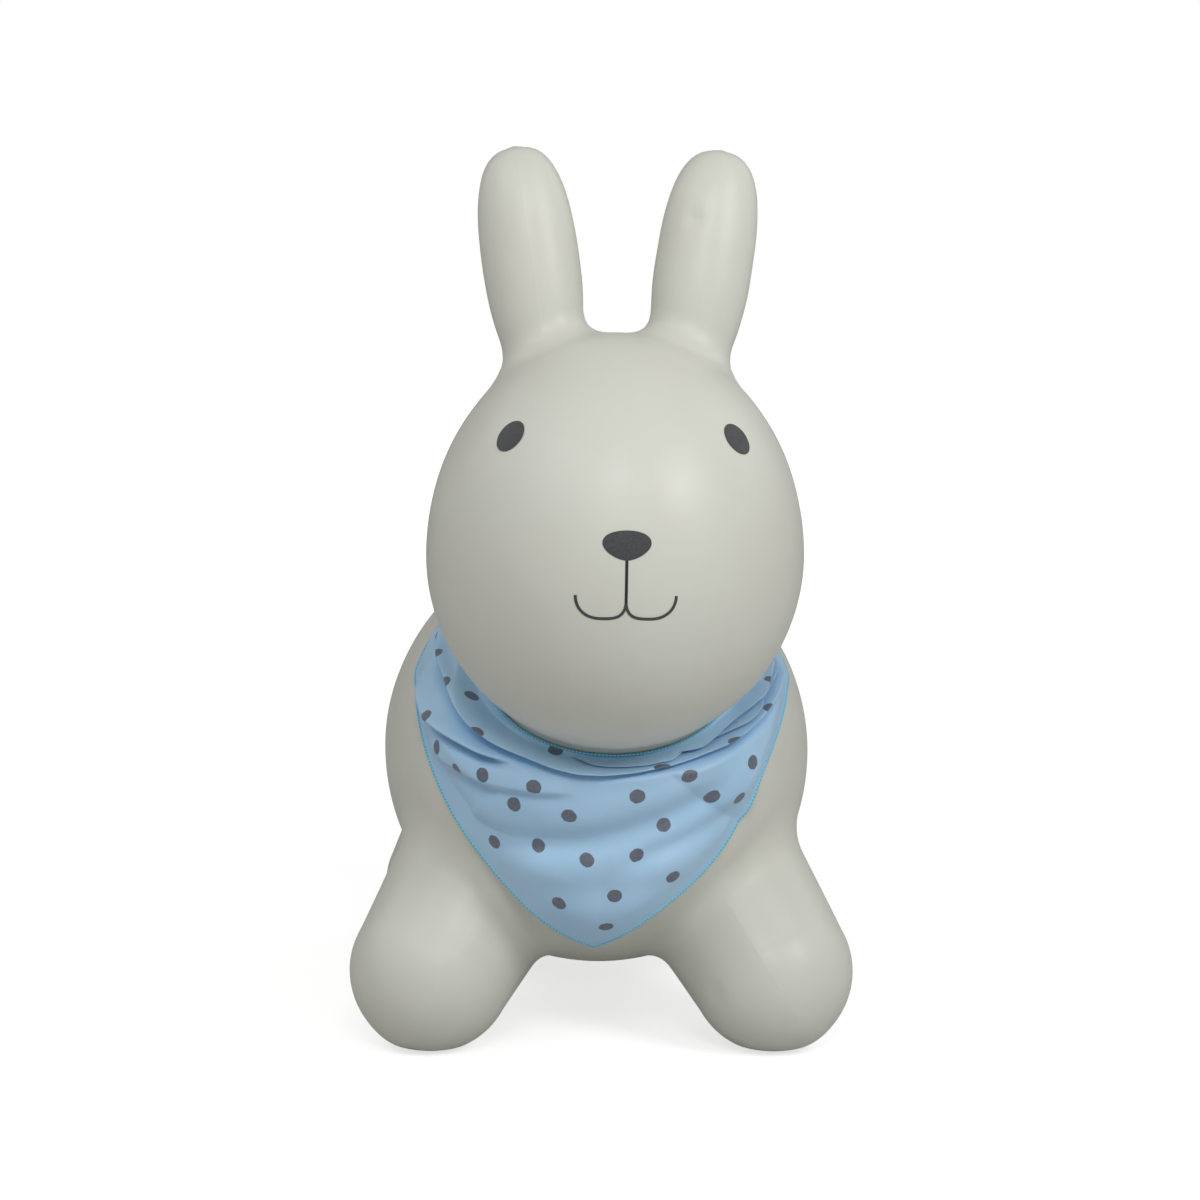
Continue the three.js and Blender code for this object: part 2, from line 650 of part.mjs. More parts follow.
// Lower edges of the bib as seen from the front: two lines, bulged outwards, from the tip to the corners.
function bibEdge(turn, outwards = 0) {
  const corner = bibTop(turn < 0.5 ? 0 : 1);
  const share = Math.abs(2 * turn - 1);
  const run = new THREE.Vector2(corner.x, corner.z).sub(bibTip);
  const aside = new THREE.Vector2(run.y, -run.x).normalize().multiplyScalar(turn < 0.5 ? -1 : 1);
  const bulge = 4 * BIB_EDGE_BULGE * share * (1 - share) + outwards;
  return run.multiplyScalar(share).add(bibTip).addScaledVector(aside, bulge);
}

function bibFold(turn, fall) {
  const wave = 0.5 - 0.5 * Math.cos(2 * Math.PI * (BIB_FOLDS * turn + fall));
  return BIB_FOLD_HEIGHT * wave * Math.sin(Math.PI * fall) * Math.sin(Math.PI * turn);
}

function bibMesh() {
  const at = (s, t, layer) => {
    const top = bibTop(s);
    const edge = bibEdge(s);
    const lift = CLOTH_LIFT + bibFold(s, t) + layer * CLOTH;
    return chestPoint(lerp(top.x, edge.x, t), lerp(top.z, edge.y, t), lift);
  };
  return toMesh('scarf_bib', sheetSolid(BIB_STEPS, at), satin);
}

// Overlock thread along the two lower edges of the bib.
function bibHemMesh() {
  const radius = HEM_DIAMETER / 2;
  const route = [];
  for (let step = 0; step <= HEM_STEPS; step += 1) {
    const turn = lerp(HEM_END_TURN, 1 - HEM_END_TURN, step / HEM_STEPS);
    const atTip = 2 * step === HEM_STEPS;
    const edge = bibEdge(turn, atTip ? 0 : radius + SEAM_GAP);
    if (atTip) edge.y -= 2 * radius + SEAM_GAP;
    route.push(chestPoint(edge.x, edge.y, CLOTH_LIFT + radius));
  }
  const section = new THREE.Shape().absarc(0, 0, radius, 0, 2 * Math.PI);
  const extrudePath = new THREE.CatmullRomCurve3(route);
  const fineness = { steps: HEM_STEPS, curveSegments: HEM_SIDES / 2, bevelEnabled: false };
  const cord = new THREE.ExtrudeGeometry(section, { ...fineness, extrudePath });
  return toMesh('bib_hem', toSolid(cord), thread);
}

// Knot at the nape, bedded between the head and the trunk

const knotCentre = creaseBetween(Math.PI / 2, NAPE_SIDE, KNOT_THICKNESS / 2 + KNOT_CLEARANCE);

function knotMesh() {
  const ball = new THREE.SphereGeometry(1, KNOT_STEPS.columns, KNOT_STEPS.rows).rotateX(Math.PI / 2);
  ball.scale(KNOT_WIDTH / 2, KNOT_THICKNESS / 2, KNOT_THICKNESS / 2);
  return toMesh('scarf_knot', toSolid(ball.translate(knotCentre.x, knotCentre.y, knotCentre.z)), satin);
}

// Free ends of the bandana, lying on the back behind the knot

function backPoint(x, y, lift) {
  const [across, along] = [x / trunk.halfWidth, (y - trunkCentre.y) / trunk.halfLength];
  const up = Math.sqrt(Math.max(1 - across ** 2 - along ** 2, 0));
  return trunk.lift(new THREE.Vector3(x, y, trunkCentre.z + (TRUNK_HEIGHT / 2) * up), lift);
}

function scarfEndWidth(share) {
  const widest = SCARF_END_WIDEST_SHARE;
  if (share < widest) return lerp(SCARF_END_ROOT_WIDTH, SCARF_END_WIDTH, share / widest);
  return lerp(SCARF_END_WIDTH, 0, (share - widest) / (1 - widest));
}

function scarfEndMesh(name, side) {
  const [sine, cosine] = [side * Math.sin(SCARF_END_ANGLE), Math.cos(SCARF_END_ANGLE)];
  const rootX = (side * SCARF_END_ROOT_WIDTH) / 2;
  const rootY = knotCentre.y + KNOT_THICKNESS / 2 + SCARF_END_KNOT_GAP + SCARF_END_ROOT_WIDTH / 2;
  const at = (s, t, layer) => {
    const along = t * SCARF_END_LENGTH;
    const aside = (s - 0.5) * scarfEndWidth(t);
    const fold = SCARF_END_FOLD_HEIGHT * Math.sin(2 * Math.PI * s) ** 2 * Math.sin(Math.PI * t);
    const lift = CLOTH_LIFT + fold + layer * CLOTH;
    return backPoint(rootX + along * sine + aside * cosine, rootY + along * cosine - aside * sine, lift);
  };
  return toMesh(name, sheetSolid(SCARF_END_STEPS, at), satin);
}

// Shells of head and trunk: the air passes from one lobe to the next

function headMesh() {
  return toMesh('head_shell', cut(headSolid, headHollow, trunkSeat, ...earRooms), pvc);
}

function trunkMesh() {
  return toMesh('trunk_shell', cut(trunkSolid, trunkHollow, headHollow, tailHollow, valveHole(), ...legHollows), pvc);
}

const hopper = new THREE.Group();
hopper.add(trunkMesh(), headMesh(), ...ears.map(earMesh), ...legs.map(legMesh), tailMesh);
hopper.add(eyeMesh('left_eye', 1), eyeMesh('right_eye', -1), noseMesh(), mouthMesh());
hopper.add(valveGroup());
hopper.add(collarMesh(), bibMesh(), bibHemMesh(), knotMesh());
hopper.add(scarfEndMesh('left_scarf_end', 1), scarfEndMesh('right_scarf_end', -1));

export default hopper;
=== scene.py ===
# Looks of the animal hopper ball: an inflated rabbit to ride on, with a polka dot bandana.
# Metres, +Z up. The rabbit looks along -Y and its own left side is +X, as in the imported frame.
import json
import math

import bmesh
import bpy
import numpy as np
from mathutils import Matrix, Vector


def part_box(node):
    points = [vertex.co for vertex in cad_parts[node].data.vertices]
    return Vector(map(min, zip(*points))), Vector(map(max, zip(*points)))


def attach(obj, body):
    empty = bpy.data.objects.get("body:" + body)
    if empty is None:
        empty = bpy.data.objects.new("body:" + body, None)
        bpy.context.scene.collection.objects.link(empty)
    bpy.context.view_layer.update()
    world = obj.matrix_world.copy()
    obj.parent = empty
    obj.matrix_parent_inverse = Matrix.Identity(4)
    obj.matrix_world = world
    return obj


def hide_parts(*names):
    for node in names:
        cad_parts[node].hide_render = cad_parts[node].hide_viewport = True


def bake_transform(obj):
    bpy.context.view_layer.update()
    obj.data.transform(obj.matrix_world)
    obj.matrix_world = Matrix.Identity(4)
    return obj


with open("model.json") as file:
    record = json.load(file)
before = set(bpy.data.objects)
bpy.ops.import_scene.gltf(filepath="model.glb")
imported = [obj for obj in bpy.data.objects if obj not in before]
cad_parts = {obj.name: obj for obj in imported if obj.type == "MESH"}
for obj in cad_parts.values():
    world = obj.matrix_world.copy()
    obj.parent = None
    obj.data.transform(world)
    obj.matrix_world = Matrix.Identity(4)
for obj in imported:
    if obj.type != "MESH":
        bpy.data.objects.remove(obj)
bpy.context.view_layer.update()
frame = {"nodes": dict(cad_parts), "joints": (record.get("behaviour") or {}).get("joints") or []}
joints = {joint["name"]: joint for joint in frame["joints"]}

# Skin
HEAD_CROWN = 0.126
HEAD_CHIN = 0.112
LEG_RADIUS = 0.0495
HIP_RADIUS = 0.057
SOLE_RADIUS = 0.0155
FRONT_HIP_FROM_FOOT = np.array((-0.041, 0.046, 0.065))
REAR_HIP_FROM_FOOT = np.array((-0.030, -0.060, 0.065))
EAR_RAKE = math.radians(8)
EAR_LENGTH = 0.1235
EAR_WIDEST_HEIGHT = 0.052
EAR_ROOT_WIDTH = 0.040
EAR_WIDTH = 0.056
EAR_TIP_FULLNESS = 2.8
EAR_DEPTH_SHARE = 0.84
TAIL_RADIUS = 0.026
LEG_FILLET = 0.014
EAR_FILLET = 0.018
NECK_FILLET = 0.014
TAIL_FILLET = 0.010
SOLE_FILLET = 0.004
# Dents that the photograph shows: pixel of its 1200 by 1200 frame, radius and depth
PHOTO_DENTS = [
    ((695, 219), 0.0045, 0.0009),
    ((716, 993), 0.0055, 0.0009),
]
RAY_STEPS = 90
RAY_STEP_SHARE = 0.8
LEG_KEEL_HEIGHT = 0.0007
LEG_KEEL_WIDTH = 0.012
EAR_KEEL_HEIGHT = 0.0013
EAR_KEEL_WIDTH = 0.009
SKIN_CELL = 0.0036
SKIN_SMOOTH_ROUNDS = 20
SKIN_RELAX_ROUNDS = 26
SKIN_WAVE = 0.0004
PARTING_FADE = (0.004, 0.016)
PARTING_WIDTH = 0.0009
EAR_CUT = 0.012
EAR_CUT_SNAP = SKIN_CELL * 0.3
VALVE_HOLE_RADIUS = 0.009

# Face print
PRINT_LIFT = 0.00025
PRINT_MIDDLE_SHARE = 0.02
EYE_RADIUS = 0.0097
EYE_SQUEEZE = 0.9
EYE_SPOKES = 40
EYE_RINGS = 7
NOSE_WIDTH = 0.0262
NOSE_TOP = 0.022
NOSE_BOTTOM = 0.006
NOSE_WIDEST = 0.0153
NOSE_BROW_SHARE = 0.75
NOSE_CHEEK_SHARE = 0.5
NOSE_TOP_FULLNESS = 0.45
NOSE_BOTTOM_FULLNESS = 0.38
NOSE_RINGS = 8
MOUTH_LINE = 0.0016
MOUTH_FORK = -0.017
MOUTH_LOW = -0.0255
MOUTH_CHEEK = -0.0205
MOUTH_END = -0.013
MOUTH_HALF_WIDTH = 0.027
MOUTH_BEND_SHARE = 0.8

# Bandana: angles go round the neck from under the chin, and depths run outwards from its top edge
NECK_MARGIN = 0.0015
NECK_TUCK = 0.014
SHOULDER_ANGLE = 108
SHOULDER_MIX_ANGLE = 8
COLLAR_END_ANGLE = 172
SHOULDER_WIDTH = 0.044
NAPE_WIDTH = 0.022
# Outer edge on the chest as (x, z): its tip, and the points from there to each shoulder
EDGE_TIP = (-0.007, 0.0695)
EDGE_LEFT = [
    (-0.038, 0.087), (-0.062, 0.111), (-0.086, 0.140),
    (-0.103, 0.171), (-0.113, 0.205), (-0.1138, 0.2228),
]
EDGE_RIGHT = [
    (0.033, 0.0987), (0.0584, 0.1195), (0.0758, 0.145),
    (0.086, 0.1715), (0.100, 0.1944), (0.1133, 0.2227),
]
EDGE_ROUNDING = 0.06
CLOTH_COLUMNS = 430
TUCK_ROWS = 14
CLOTH_ROWS = 156
CLOTH_ROW_CROWDING = 1.4
CLOTH_LIFT = 0.001
CLOTH_HANG = 0.016
CLOTH_HANG_START = 0.4
CLOTH_HANG_ANGLES = (4, 46)
CLOTH_BODY = 0.0065
CLOTH_BODY_END = 0.6
CLOTH_PUFF = 0.0050
CLOTH_PUFF_START = (0.002, 0.009)
CLOTH_PUFF_END = (0.020, 0.060)
CLOTH_PUFF_FRONT = (55, 105)
# Folds: line as (angle, depth), height of the crest, width of the rise to it, width of the drop below it,
# depth of the groove that follows and its width; a pair of widths is for the two ends of the line
THIN_ROLL = dict(
    crest=0.0055, rise=(0.0018, 0.0018), drop=0.0010, groove=0.0130, groove_width=(0.0026, 0.0026))
FOLDS = [
    dict(
        line=[(-114, 0.034), (-86, 0.014), (-60, 0.0090), (-31, 0.0058), (-10, 0.0066),
              (10, 0.0055), (30, 0.0056), (39, 0.0064), (56, 0.0098), (70, 0.0145),
              (80, 0.0185), (95, 0.030), (110, 0.044)],
        crest=0.0050, rise=(0.0042, 0.0028), drop=0.0027, groove=0.0145, groove_width=(0.0085, 0.0034)),
    dict(
        line=[(-20, 0.0018), (2, 0.0020), (32, 0.0024), (53, 0.0055),
              (69, 0.0095), (80, 0.013), (95, 0.023), (110, 0.036)],
        **THIN_ROLL),
    dict(
        line=[(20, 0.0000), (49, 0.0020), (64, 0.0045), (76, 0.0080), (89, 0.015), (110, 0.028)],
        **THIN_ROLL),
    dict(
        line=[(-106, 0.049), (-81, 0.038), (-70, 0.029), (-58, 0.022), (-34, 0.016)],
        crest=0.0070, rise=(0.0060, 0.0045), drop=0.0016, groove=0.0130, groove_width=(0.0045, 0.0035)),
    dict(
        line=[(-88, 0.056), (-62, 0.040), (-44, 0.032), (-27, 0.026), (-8, 0.022)],
        crest=0.0030, rise=(0.0090, 0.0090), drop=0.0035, groove=0.0045, groove_width=(0.0080, 0.0060)),
]
FOLD_OVERHANG = 0.0010
FOLD_EDGE_SHARE = 0.35
FOLD_EDGE_START = 0.8
FOLD_SOFT_ANGLE = 6
FOLD_FADE_ANGLE = 16
# Soft valleys of the lower part: line as (angle, depth), depth of the valley and its width
VALLEYS = [
    dict(
        line=[(-62, 0.074), (-38, 0.066), (-25, 0.060), (-10, 0.055), (7, 0.046), (32, 0.036), (50, 0.030)],
        deep=0.0068, width=0.010),
    dict(line=[(2, 0.068), (16, 0.061), (43, 0.051), (60, 0.046)], deep=0.0044, width=0.008),
    dict(line=[(-30, 0.092), (0, 0.084), (30, 0.078)], deep=0.0024, width=0.012),
]
PLEAT_HEIGHT = 0.005
PLEATS = 3
PLEAT_ANGLES = (96, 122)
# Creases left by ironing: both ends as (angle, depth) and the rise of the cloth on the outer side
IRONED_CREASES = [
    dict(ends=((-38, 0.036), (-52, 0.072)), rise=-0.008),
    dict(ends=((21, 0.015), (51, 0.060)), rise=0.008),
]
IRONED_WIDTH = 0.010
IRONED_REACH = 0.030
IRONED_TURN_LENGTH = 0.0018
IRONED_START_FADE = 0.004
IRONED_END_FADE = 0.010
DOT_RADIUS = 0.0042
DOT_BLUR = 0.0002
DOT_RAGGEDNESS = 0.0004
# Dots that the photograph shows, as pixels of its 1200 by 1200 frame
PHOTO_DOTS = [
    (494, 842), (539, 845), (587, 859), (637, 856), (674, 877), (614, 897), (558, 903), (606, 927),
    (568, 817), (664, 824), (514, 805), (638, 796), (664, 769), (691, 777), (711, 797), (740, 799),
    (753, 762), (737, 741), (770, 708), (775, 678), (450, 775), (482, 775), (534, 787), (436, 747),
    (475, 733), (472, 695), (437, 681), (424, 715), (428, 650), (556, 751),
]
# Of the layers of cloth under a pixel the nearest takes the dot: a metre further off counts as these pixels
FRONT_PIXELS = 500
# Dots behind the shoulders, in two rows round the neck
BACK_DOT_MARGIN = 6
BACK_DOT_STEP = 17
BACK_DOT_ROWS = (0.012, 0.030)
WEFT_PITCH = 0.0007
WARP_PITCH = 0.0005
HEM_WIDTH = 0.0017
HEM_THICKNESS = 0.0010
HEM_STITCH = 0.0022
HEM_SWELL = (0.85, 0.25)
HEM_SIDES = 8
KNOT_COLUMNS = 61
KNOT_ROWS = 73
KNOT_ROUNDNESS = 2.4
KNOT_GATHER = 0.14
KNOT_GATHERS = 3.5
KNOT_TWIST = 1.5
KNOT_WRAP_SHARE = 0.42
KNOT_WRAP_EDGES = (-0.06, 0.04)
KNOT_WRAP = 0.06
KNOT_WRAP_FOLD = 0.035
KNOT_WRAP_FOLD_SHARE = 0.26
KNOT_DOTS = [(0.15, 55), (-0.70, 85), (0.74, 120), (-0.12, 150)]
END_LENGTH = 0.088
END_WIDTH = 0.040
END_ROOT_WIDTH = 0.015
END_WIDEST_SHARE = 0.5
END_ROUNDING = 0.06
END_POINT_SHARE = 0.9
END_ANGLE = math.radians(38)
END_KNOT_GAP = 0.0016
END_TUCK = 0.010
END_FOLD = 0.0040
END_ROOT_RISE = 0.0060
END_ROOT_SHARE = 0.45
END_GATHER = (0.6, 0.4)
END_GATHERS = 3
END_TIP_RISE = 0.0025
END_COLUMNS = 41
END_ROWS = 71
END_DOTS = [(-0.009, 0.026), (0.009, 0.037), (-0.008, 0.050), (0.003, 0.066)]

# Camera and light
PHOTO_SIZE = 1200
CAMERA_AZIMUTH = math.radians(-3)
CAMERA_ELEVATION = math.radians(6)
CAMERA_ROLL = math.radians(0.9)
CAMERA_DISTANCE = 1.75
CAMERA_TARGET = Vector((0.0013, 0.0446, 0.2601))
SENSOR = 36.0
LENS = 82.03
LAMP_DISTANCE = 2.0
# Lamps: side angle from the front, angle above the level, size and power
LAMPS = {
    "key": (38, 30, 0.55, 10.5),
    "front": (-2, 32, 0.55, 7.5),
    "fill": (-45, 42, 0.8, 4),
    "left_side": (105, 35, 1.0, 3.0),
    "right_side": (-105, 35, 1.0, 3.2),
}
SKY = 0.30
FLOOR_SIZE = 12
FLOOR_GLOW = (0.69, 1.0)
FLOOR_GLOW_REACH = (0.5, 3.0)

TINY = 1e-9


# Places taken from the frame

def centre_and_half(node):
    low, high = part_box(node)
    return np.array((low + high) / 2), np.array((high - low) / 2)


trunk_centre, trunk_half = centre_and_half("trunk_shell")
head_centre, head_half = centre_and_half("head_shell")
head_centre[2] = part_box("head_shell")[1].z - HEAD_CROWN
head_half[2] = HEAD_CROWN


def left_leg(node, end, hip_from_foot):
    low, high = (np.array(corner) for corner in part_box(node))
    foot_y = low[1] + LEG_RADIUS if end < 0 else high[1] - LEG_RADIUS
    foot = np.array((high[0] - LEG_RADIUS, foot_y, math.sqrt(LEG_RADIUS ** 2 - SOLE_RADIUS ** 2)))
    return foot + hip_from_foot, foot


left_legs = [
    left_leg("front_left_leg", -1, FRONT_HIP_FROM_FOOT),
    left_leg("rear_left_leg", 1, REAR_HIP_FROM_FOOT),
]
tail_centre = np.array((0, *(np.array(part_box("tail")[1]) - TAIL_RADIUS)[1:]))
ear_root = np.array(joints["left_ear_bend"]["pos_m"])
ear_pin = np.array(joints["left_ear_bend"]["axis"])
ear_rise = np.cross(ear_pin, (0, 1, 0))
ear_up = ear_rise * math.cos(EAR_RAKE) + np.array((0, 1, 0)) * math.sin(EAR_RAKE)
ear_front = np.cross(ear_up, ear_pin)
valve_axis = np.array(joints["valve_plug_pull"]["axis"])
valve_place = centre_and_half("valve_seat")[0]


# Formulas

def smoothstep(values, start, end):
    share = np.clip((values - start) / (end - start), 0, 1)
    return share * share * (3 - 2 * share)


def bell(values, width):
    return np.exp(-(values / width) ** 2)


def dome(a, b):
    """Height of a ball of radius 1 over places on its middle plane."""
    return np.sqrt(np.maximum(1 - a ** 2 - b ** 2, 0))


def unit(vectors):
    return vectors / np.maximum(np.linalg.norm(vectors, axis=-1, keepdims=True), TINY)


# Shape of the skin: distances to the lobes, joined with fillets

def egg_distance(points, centre, half, below):
    offset = points - centre
    size = np.tile(half, (len(points), 1))
    size[offset[:, 2] < 0, 2] = below
    scaled = offset / size
    length = np.linalg.norm(scaled, axis=1)
    return length * (length - 1) / np.maximum(np.linalg.norm(scaled / size, axis=1), TINY)


def share_along(points, start, end):
    run = end - start
    return np.clip((points - start) @ run / (run @ run), 0, 1)


def leg_distance(points, hip, foot):
    share = share_along(points, hip, foot)
    nearest = hip + share[:, None] * (foot - hip)
    aside = (points - hip) @ leg_across(hip, foot)
    keel = LEG_KEEL_HEIGHT * keel_share(aside, nearest[:, 1] - points[:, 1], LEG_KEEL_WIDTH)
    return np.linalg.norm(points - nearest, axis=1) - HIP_RADIUS - share * (LEG_RADIUS - HIP_RADIUS) - keel


def leg_across(hip, foot):
    return unit(np.cross(foot - hip, (0, 1, 0)))


def keel_share(aside, ahead, width):
    """Profile of a low ridge down the front of a lobe, where the halves of its mould met."""
    return bell(aside, width) * smoothstep(ahead, 0, width)


def ear_radius(height):
    below = np.clip(1 - height / EAR_WIDEST_HEIGHT, 0, 1)
    return (EAR_WIDTH - (EAR_WIDTH - EAR_ROOT_WIDTH) * below ** 2) / 2


def ear_distance(points):
    offset = points - ear_root
    height = np.maximum(offset @ ear_up, 0)
    across = np.hypot(offset @ ear_pin, offset @ ear_front / EAR_DEPTH_SHARE)
    above = np.maximum(height - EAR_WIDEST_HEIGHT, 0) * EAR_WIDTH / 2 / (EAR_LENGTH - EAR_WIDEST_HEIGHT)
    below = np.minimum(offset @ ear_up, 0)
    rounded = (across ** EAR_TIP_FULLNESS + above ** EAR_TIP_FULLNESS) ** (1 / EAR_TIP_FULLNESS)
    keel = EAR_KEEL_HEIGHT * keel_share(offset @ ear_pin, offset @ ear_front, EAR_KEEL_WIDTH)
    keel *= smoothstep(height, 0, EAR_WIDEST_HEIGHT)
    return (np.hypot(rounded, below) - ear_radius(height)) * EAR_DEPTH_SHARE - keel


def join(a, b, fillet):
    near = np.maximum(fillet - np.abs(a - b), 0) / fillet
    return np.minimum(a, b) - near * near * fillet / 4


def mirrored(points):
    return np.column_stack((np.abs(points[:, 0]), points[:, 1:]))


def lobe_distances(points):
    right_as_left = mirrored(points)
    return {
        "trunk": egg_distance(points, trunk_centre, trunk_half, trunk_half[2]),
        "head": egg_distance(points, head_centre, head_half, HEAD_CHIN),
        "ear": ear_distance(right_as_left),
        "front_leg": leg_distance(right_as_left, *left_legs[0]),
        "rear_leg": leg_distance(right_as_left, *left_legs[1]),
        "tail": np.linalg.norm(points - tail_centre, axis=1) - TAIL_RADIUS,
    }


dents = []


def skin_distance(points):
    lobes = lobe_distances(points)
    body = join(lobes["trunk"], lobes["front_leg"], LEG_FILLET)
    body = join(body, lobes["rear_leg"], LEG_FILLET)
    body = join(body, lobes["tail"], TAIL_FILLET)
    body = join(body, join(lobes["head"], lobes["ear"], EAR_FILLET), NECK_FILLET)
    for place, radius, depth in dents:
        body = body + depth * np.exp(-((points - place) ** 2).sum(axis=1) / radius ** 2)
    return -join(-body, points[:, 2], SOLE_FILLET)


def slope(field, points, step=0.0002):
    sides = [(field(points + step * axis) - field(points - step * axis)) / (2 * step) for axis in np.eye(3)]
    return np.stack(sides, axis=1)


def settle(points, height=0.0, rounds=4):
    """Moves points straight off or onto the skin until they are at a height above it."""
    points = points.copy()
    for _ in range(rounds):
        normal = slope(skin_distance, points)
        missing = height - skin_distance(points)
        points += normal * (missing / np.maximum((normal * normal).sum(axis=1), TINY))[:, None]
    return points


def skin_normals(points):
    return unit(slope(skin_distance, points))


# Camera

def camera_axes():
    """Directions to the right and up in the picture, and back from the object to the camera."""
    aside, ahead = math.sin(CAMERA_AZIMUTH), math.cos(CAMERA_AZIMUTH)
    flat = math.cos(CAMERA_ELEVATION)
    back = np.array((aside * flat, -ahead * flat, math.sin(CAMERA_ELEVATION)))
    level = np.array((ahead, aside, 0))
    right = level * math.cos(CAMERA_ROLL) + np.cross(back, level) * math.sin(CAMERA_ROLL)
    return right, np.cross(back, right), back


camera_right, camera_up, camera_back = camera_axes()
camera_place = np.array(CAMERA_TARGET) + CAMERA_DISTANCE * camera_back
FOCAL_PIXELS = LENS / SENSOR * PHOTO_SIZE


def make_camera():
    data = bpy.data.cameras.new("camera")
    data.lens = LENS
    data.sensor_width = SENSOR
    camera = add_object("camera", data)
    camera.location = camera_place
    camera.rotation_euler = Matrix((camera_right, camera_up, camera_back)).transposed().to_euler()
    bpy.context.scene.camera = camera


def pixels(points):
    """Places of points in the photograph's frame."""
    offset = points - camera_place
    away = -(offset @ camera_back)
    seen = np.stack((offset @ camera_right, -(offset @ camera_up)), axis=-1)
    return seen / away[..., None] * FOCAL_PIXELS + PHOTO_SIZE / 2


def skin_under(pixel):
    """Point of the skin that the camera sees at a pixel of the photograph's frame."""
    across, down = (np.array(pixel) - PHOTO_SIZE / 2) / FOCAL_PIXELS
    ray = unit(across * camera_right - down * camera_up - camera_back)
    point = camera_place[None]
    for _ in range(RAY_STEPS):
        point = point + ray * RAY_STEP_SHARE * skin_distance(point)
    return point[0]


dents += [(skin_under(pixel), radius, depth) for pixel, radius, depth in PHOTO_DENTS]


# Meshes

def add_object(name, data, material=None):
    made = bpy.data.objects.new(name, data)
    bpy.context.scene.collection.objects.link(made)
    if material:
        data.materials.append(material)
    return made


def mesh_from(name, points, faces):
    mesh = bpy.data.meshes.new(name)
    mesh.from_pydata(np.asarray(points).tolist(), [], faces)
    mesh.polygons.foreach_set("use_smooth", [True] * len(faces))
    mesh.update()
    return mesh


def grid_faces(columns, rows, loop_columns=False, loop_rows=False, start=0):
    """Faces of a grid whose points run down each column in turn, counted on from start."""
    faces = []
    for i in range(columns if loop_columns else columns - 1):
        for j in range(rows if loop_rows else rows - 1):
            a, b = start + i * rows, start + (i + 1) % columns * rows
            after = (j + 1) % rows
            faces.append((a + j, b + j, b + after, a + after))
    return faces


def point_values(mesh):
    values = np.zeros(3 * len(mesh.vertices))
    mesh.vertices.foreach_get("co", values)
    return values.reshape(-1, 3)


def store(mesh, name, values):
    attribute = mesh.attributes.new(name, "FLOAT", "POINT")
    attribute.data.foreach_set("value", np.asarray(values, np.float32))


def line_run(points):
    """Length along a line from its first point to each of its points."""
    return np.concatenate(([0], np.cumsum(np.linalg.norm(np.diff(points, axis=0), axis=1))))


# Skin

def ball(bm, centre, half):
    size = np.broadcast_to(half, 3)
    matrix = Matrix.Translation(Vector(centre)) @ Matrix.Diagonal((*size, 1))
    bmesh.ops.create_icosphere(bm, subdivisions=4, radius=1, matrix=matrix)


def rough_skin():
    """Balls that fill the lobes roughly, made into one even surface."""
    bm = bmesh.new()
    ball(bm, trunk_centre, trunk_half)
    ball(bm, head_centre, head_half - (0, 0, HEAD_CROWN - HEAD_CHIN))
    ball(bm, tail_centre, TAIL_RADIUS)
    for side in (1, -1):
        flip = np.array((side, 1, 1))
        for share in np.linspace(0, 1, 9):
            height = share * (EAR_LENGTH - EAR_WIDTH / 2)
            ball(bm, (ear_root + height * ear_up) * flip, ear_radius(height) * EAR_DEPTH_SHARE)
            for hip, foot in left_legs:
                ball(bm, (hip + share * (foot - hip)) * flip, LEG_RADIUS)
    mesh = bpy.data.meshes.new("rough_skin")
    bm.to_mesh(mesh)
    bm.free()
    rough = add_object("rough_skin", mesh)
    remesh = rough.modifiers.new("even", "REMESH")
    remesh.mode = "VOXEL"
    remesh.voxel_size = SKIN_CELL
    even = bpy.data.meshes.new_from_object(rough.evaluated_get(bpy.context.evaluated_depsgraph_get()))
    bpy.data.objects.remove(rough)
    return even


def relax(points, edges):
    """Points moved halfway to the middle of their neighbours."""
    total = np.zeros_like(points)
    count = np.zeros(len(points))
    for a, b in (edges.T, edges.T[::-1]):
        np.add.at(total, a, points[b])
        np.add.at(count, a, 1)
    return (points + total / np.maximum(count, 1)[:, None]) / 2


def waves(points):
    """Slow unevenness of the blown skin, from 0 to 1."""
    x, y, z = (points * 2 * math.pi).T
    long_waves = np.sin(9 * x + 5 * z + 1) * np.sin(7 * y - 8 * z)
    short_waves = np.sin(13 * z - 6 * x) * np.sin(11 * y + 4 * x + 2)
    return 0.5 + (long_waves + short_waves) / 4


def parting(points):
    """Distance to the mould's parting line, with its sign, and how clearly the line shows."""
    lobes = lobe_distances(points)
    names = list(lobes)
    stacked = np.stack([lobes[name] for name in names], axis=1)
    ranked = np.sort(stacked, axis=1)
    nearest = np.argmin(stacked, axis=1)
    line = points[:, 0].copy()
    right_as_left = mirrored(points)
    on_ear = nearest == names.index("ear")
    line[on_ear] = ((right_as_left - ear_root) @ ear_pin)[on_ear]
    for name, (hip, foot) in zip(("front_leg", "rear_leg"), left_legs):
        on_leg = nearest == names.index(name)
        line[on_leg] = ((right_as_left - hip) @ leg_across(hip, foot))[on_leg]
    return line, smoothstep(ranked[:, 1] - ranked[:, 0], *PARTING_FADE)


def finish_skin(mesh, material):
    points = point_values(mesh)
    mesh.polygons.foreach_set("use_smooth", [True] * len(mesh.polygons))
    mesh.normals_split_custom_set_from_vertices(skin_normals(points).tolist())
    line, clear = parting(points)
    store(mesh, "parting", line)
    store(mesh, "parting_clear", clear)
    mesh.materials.clear()
    mesh.materials.append(material)


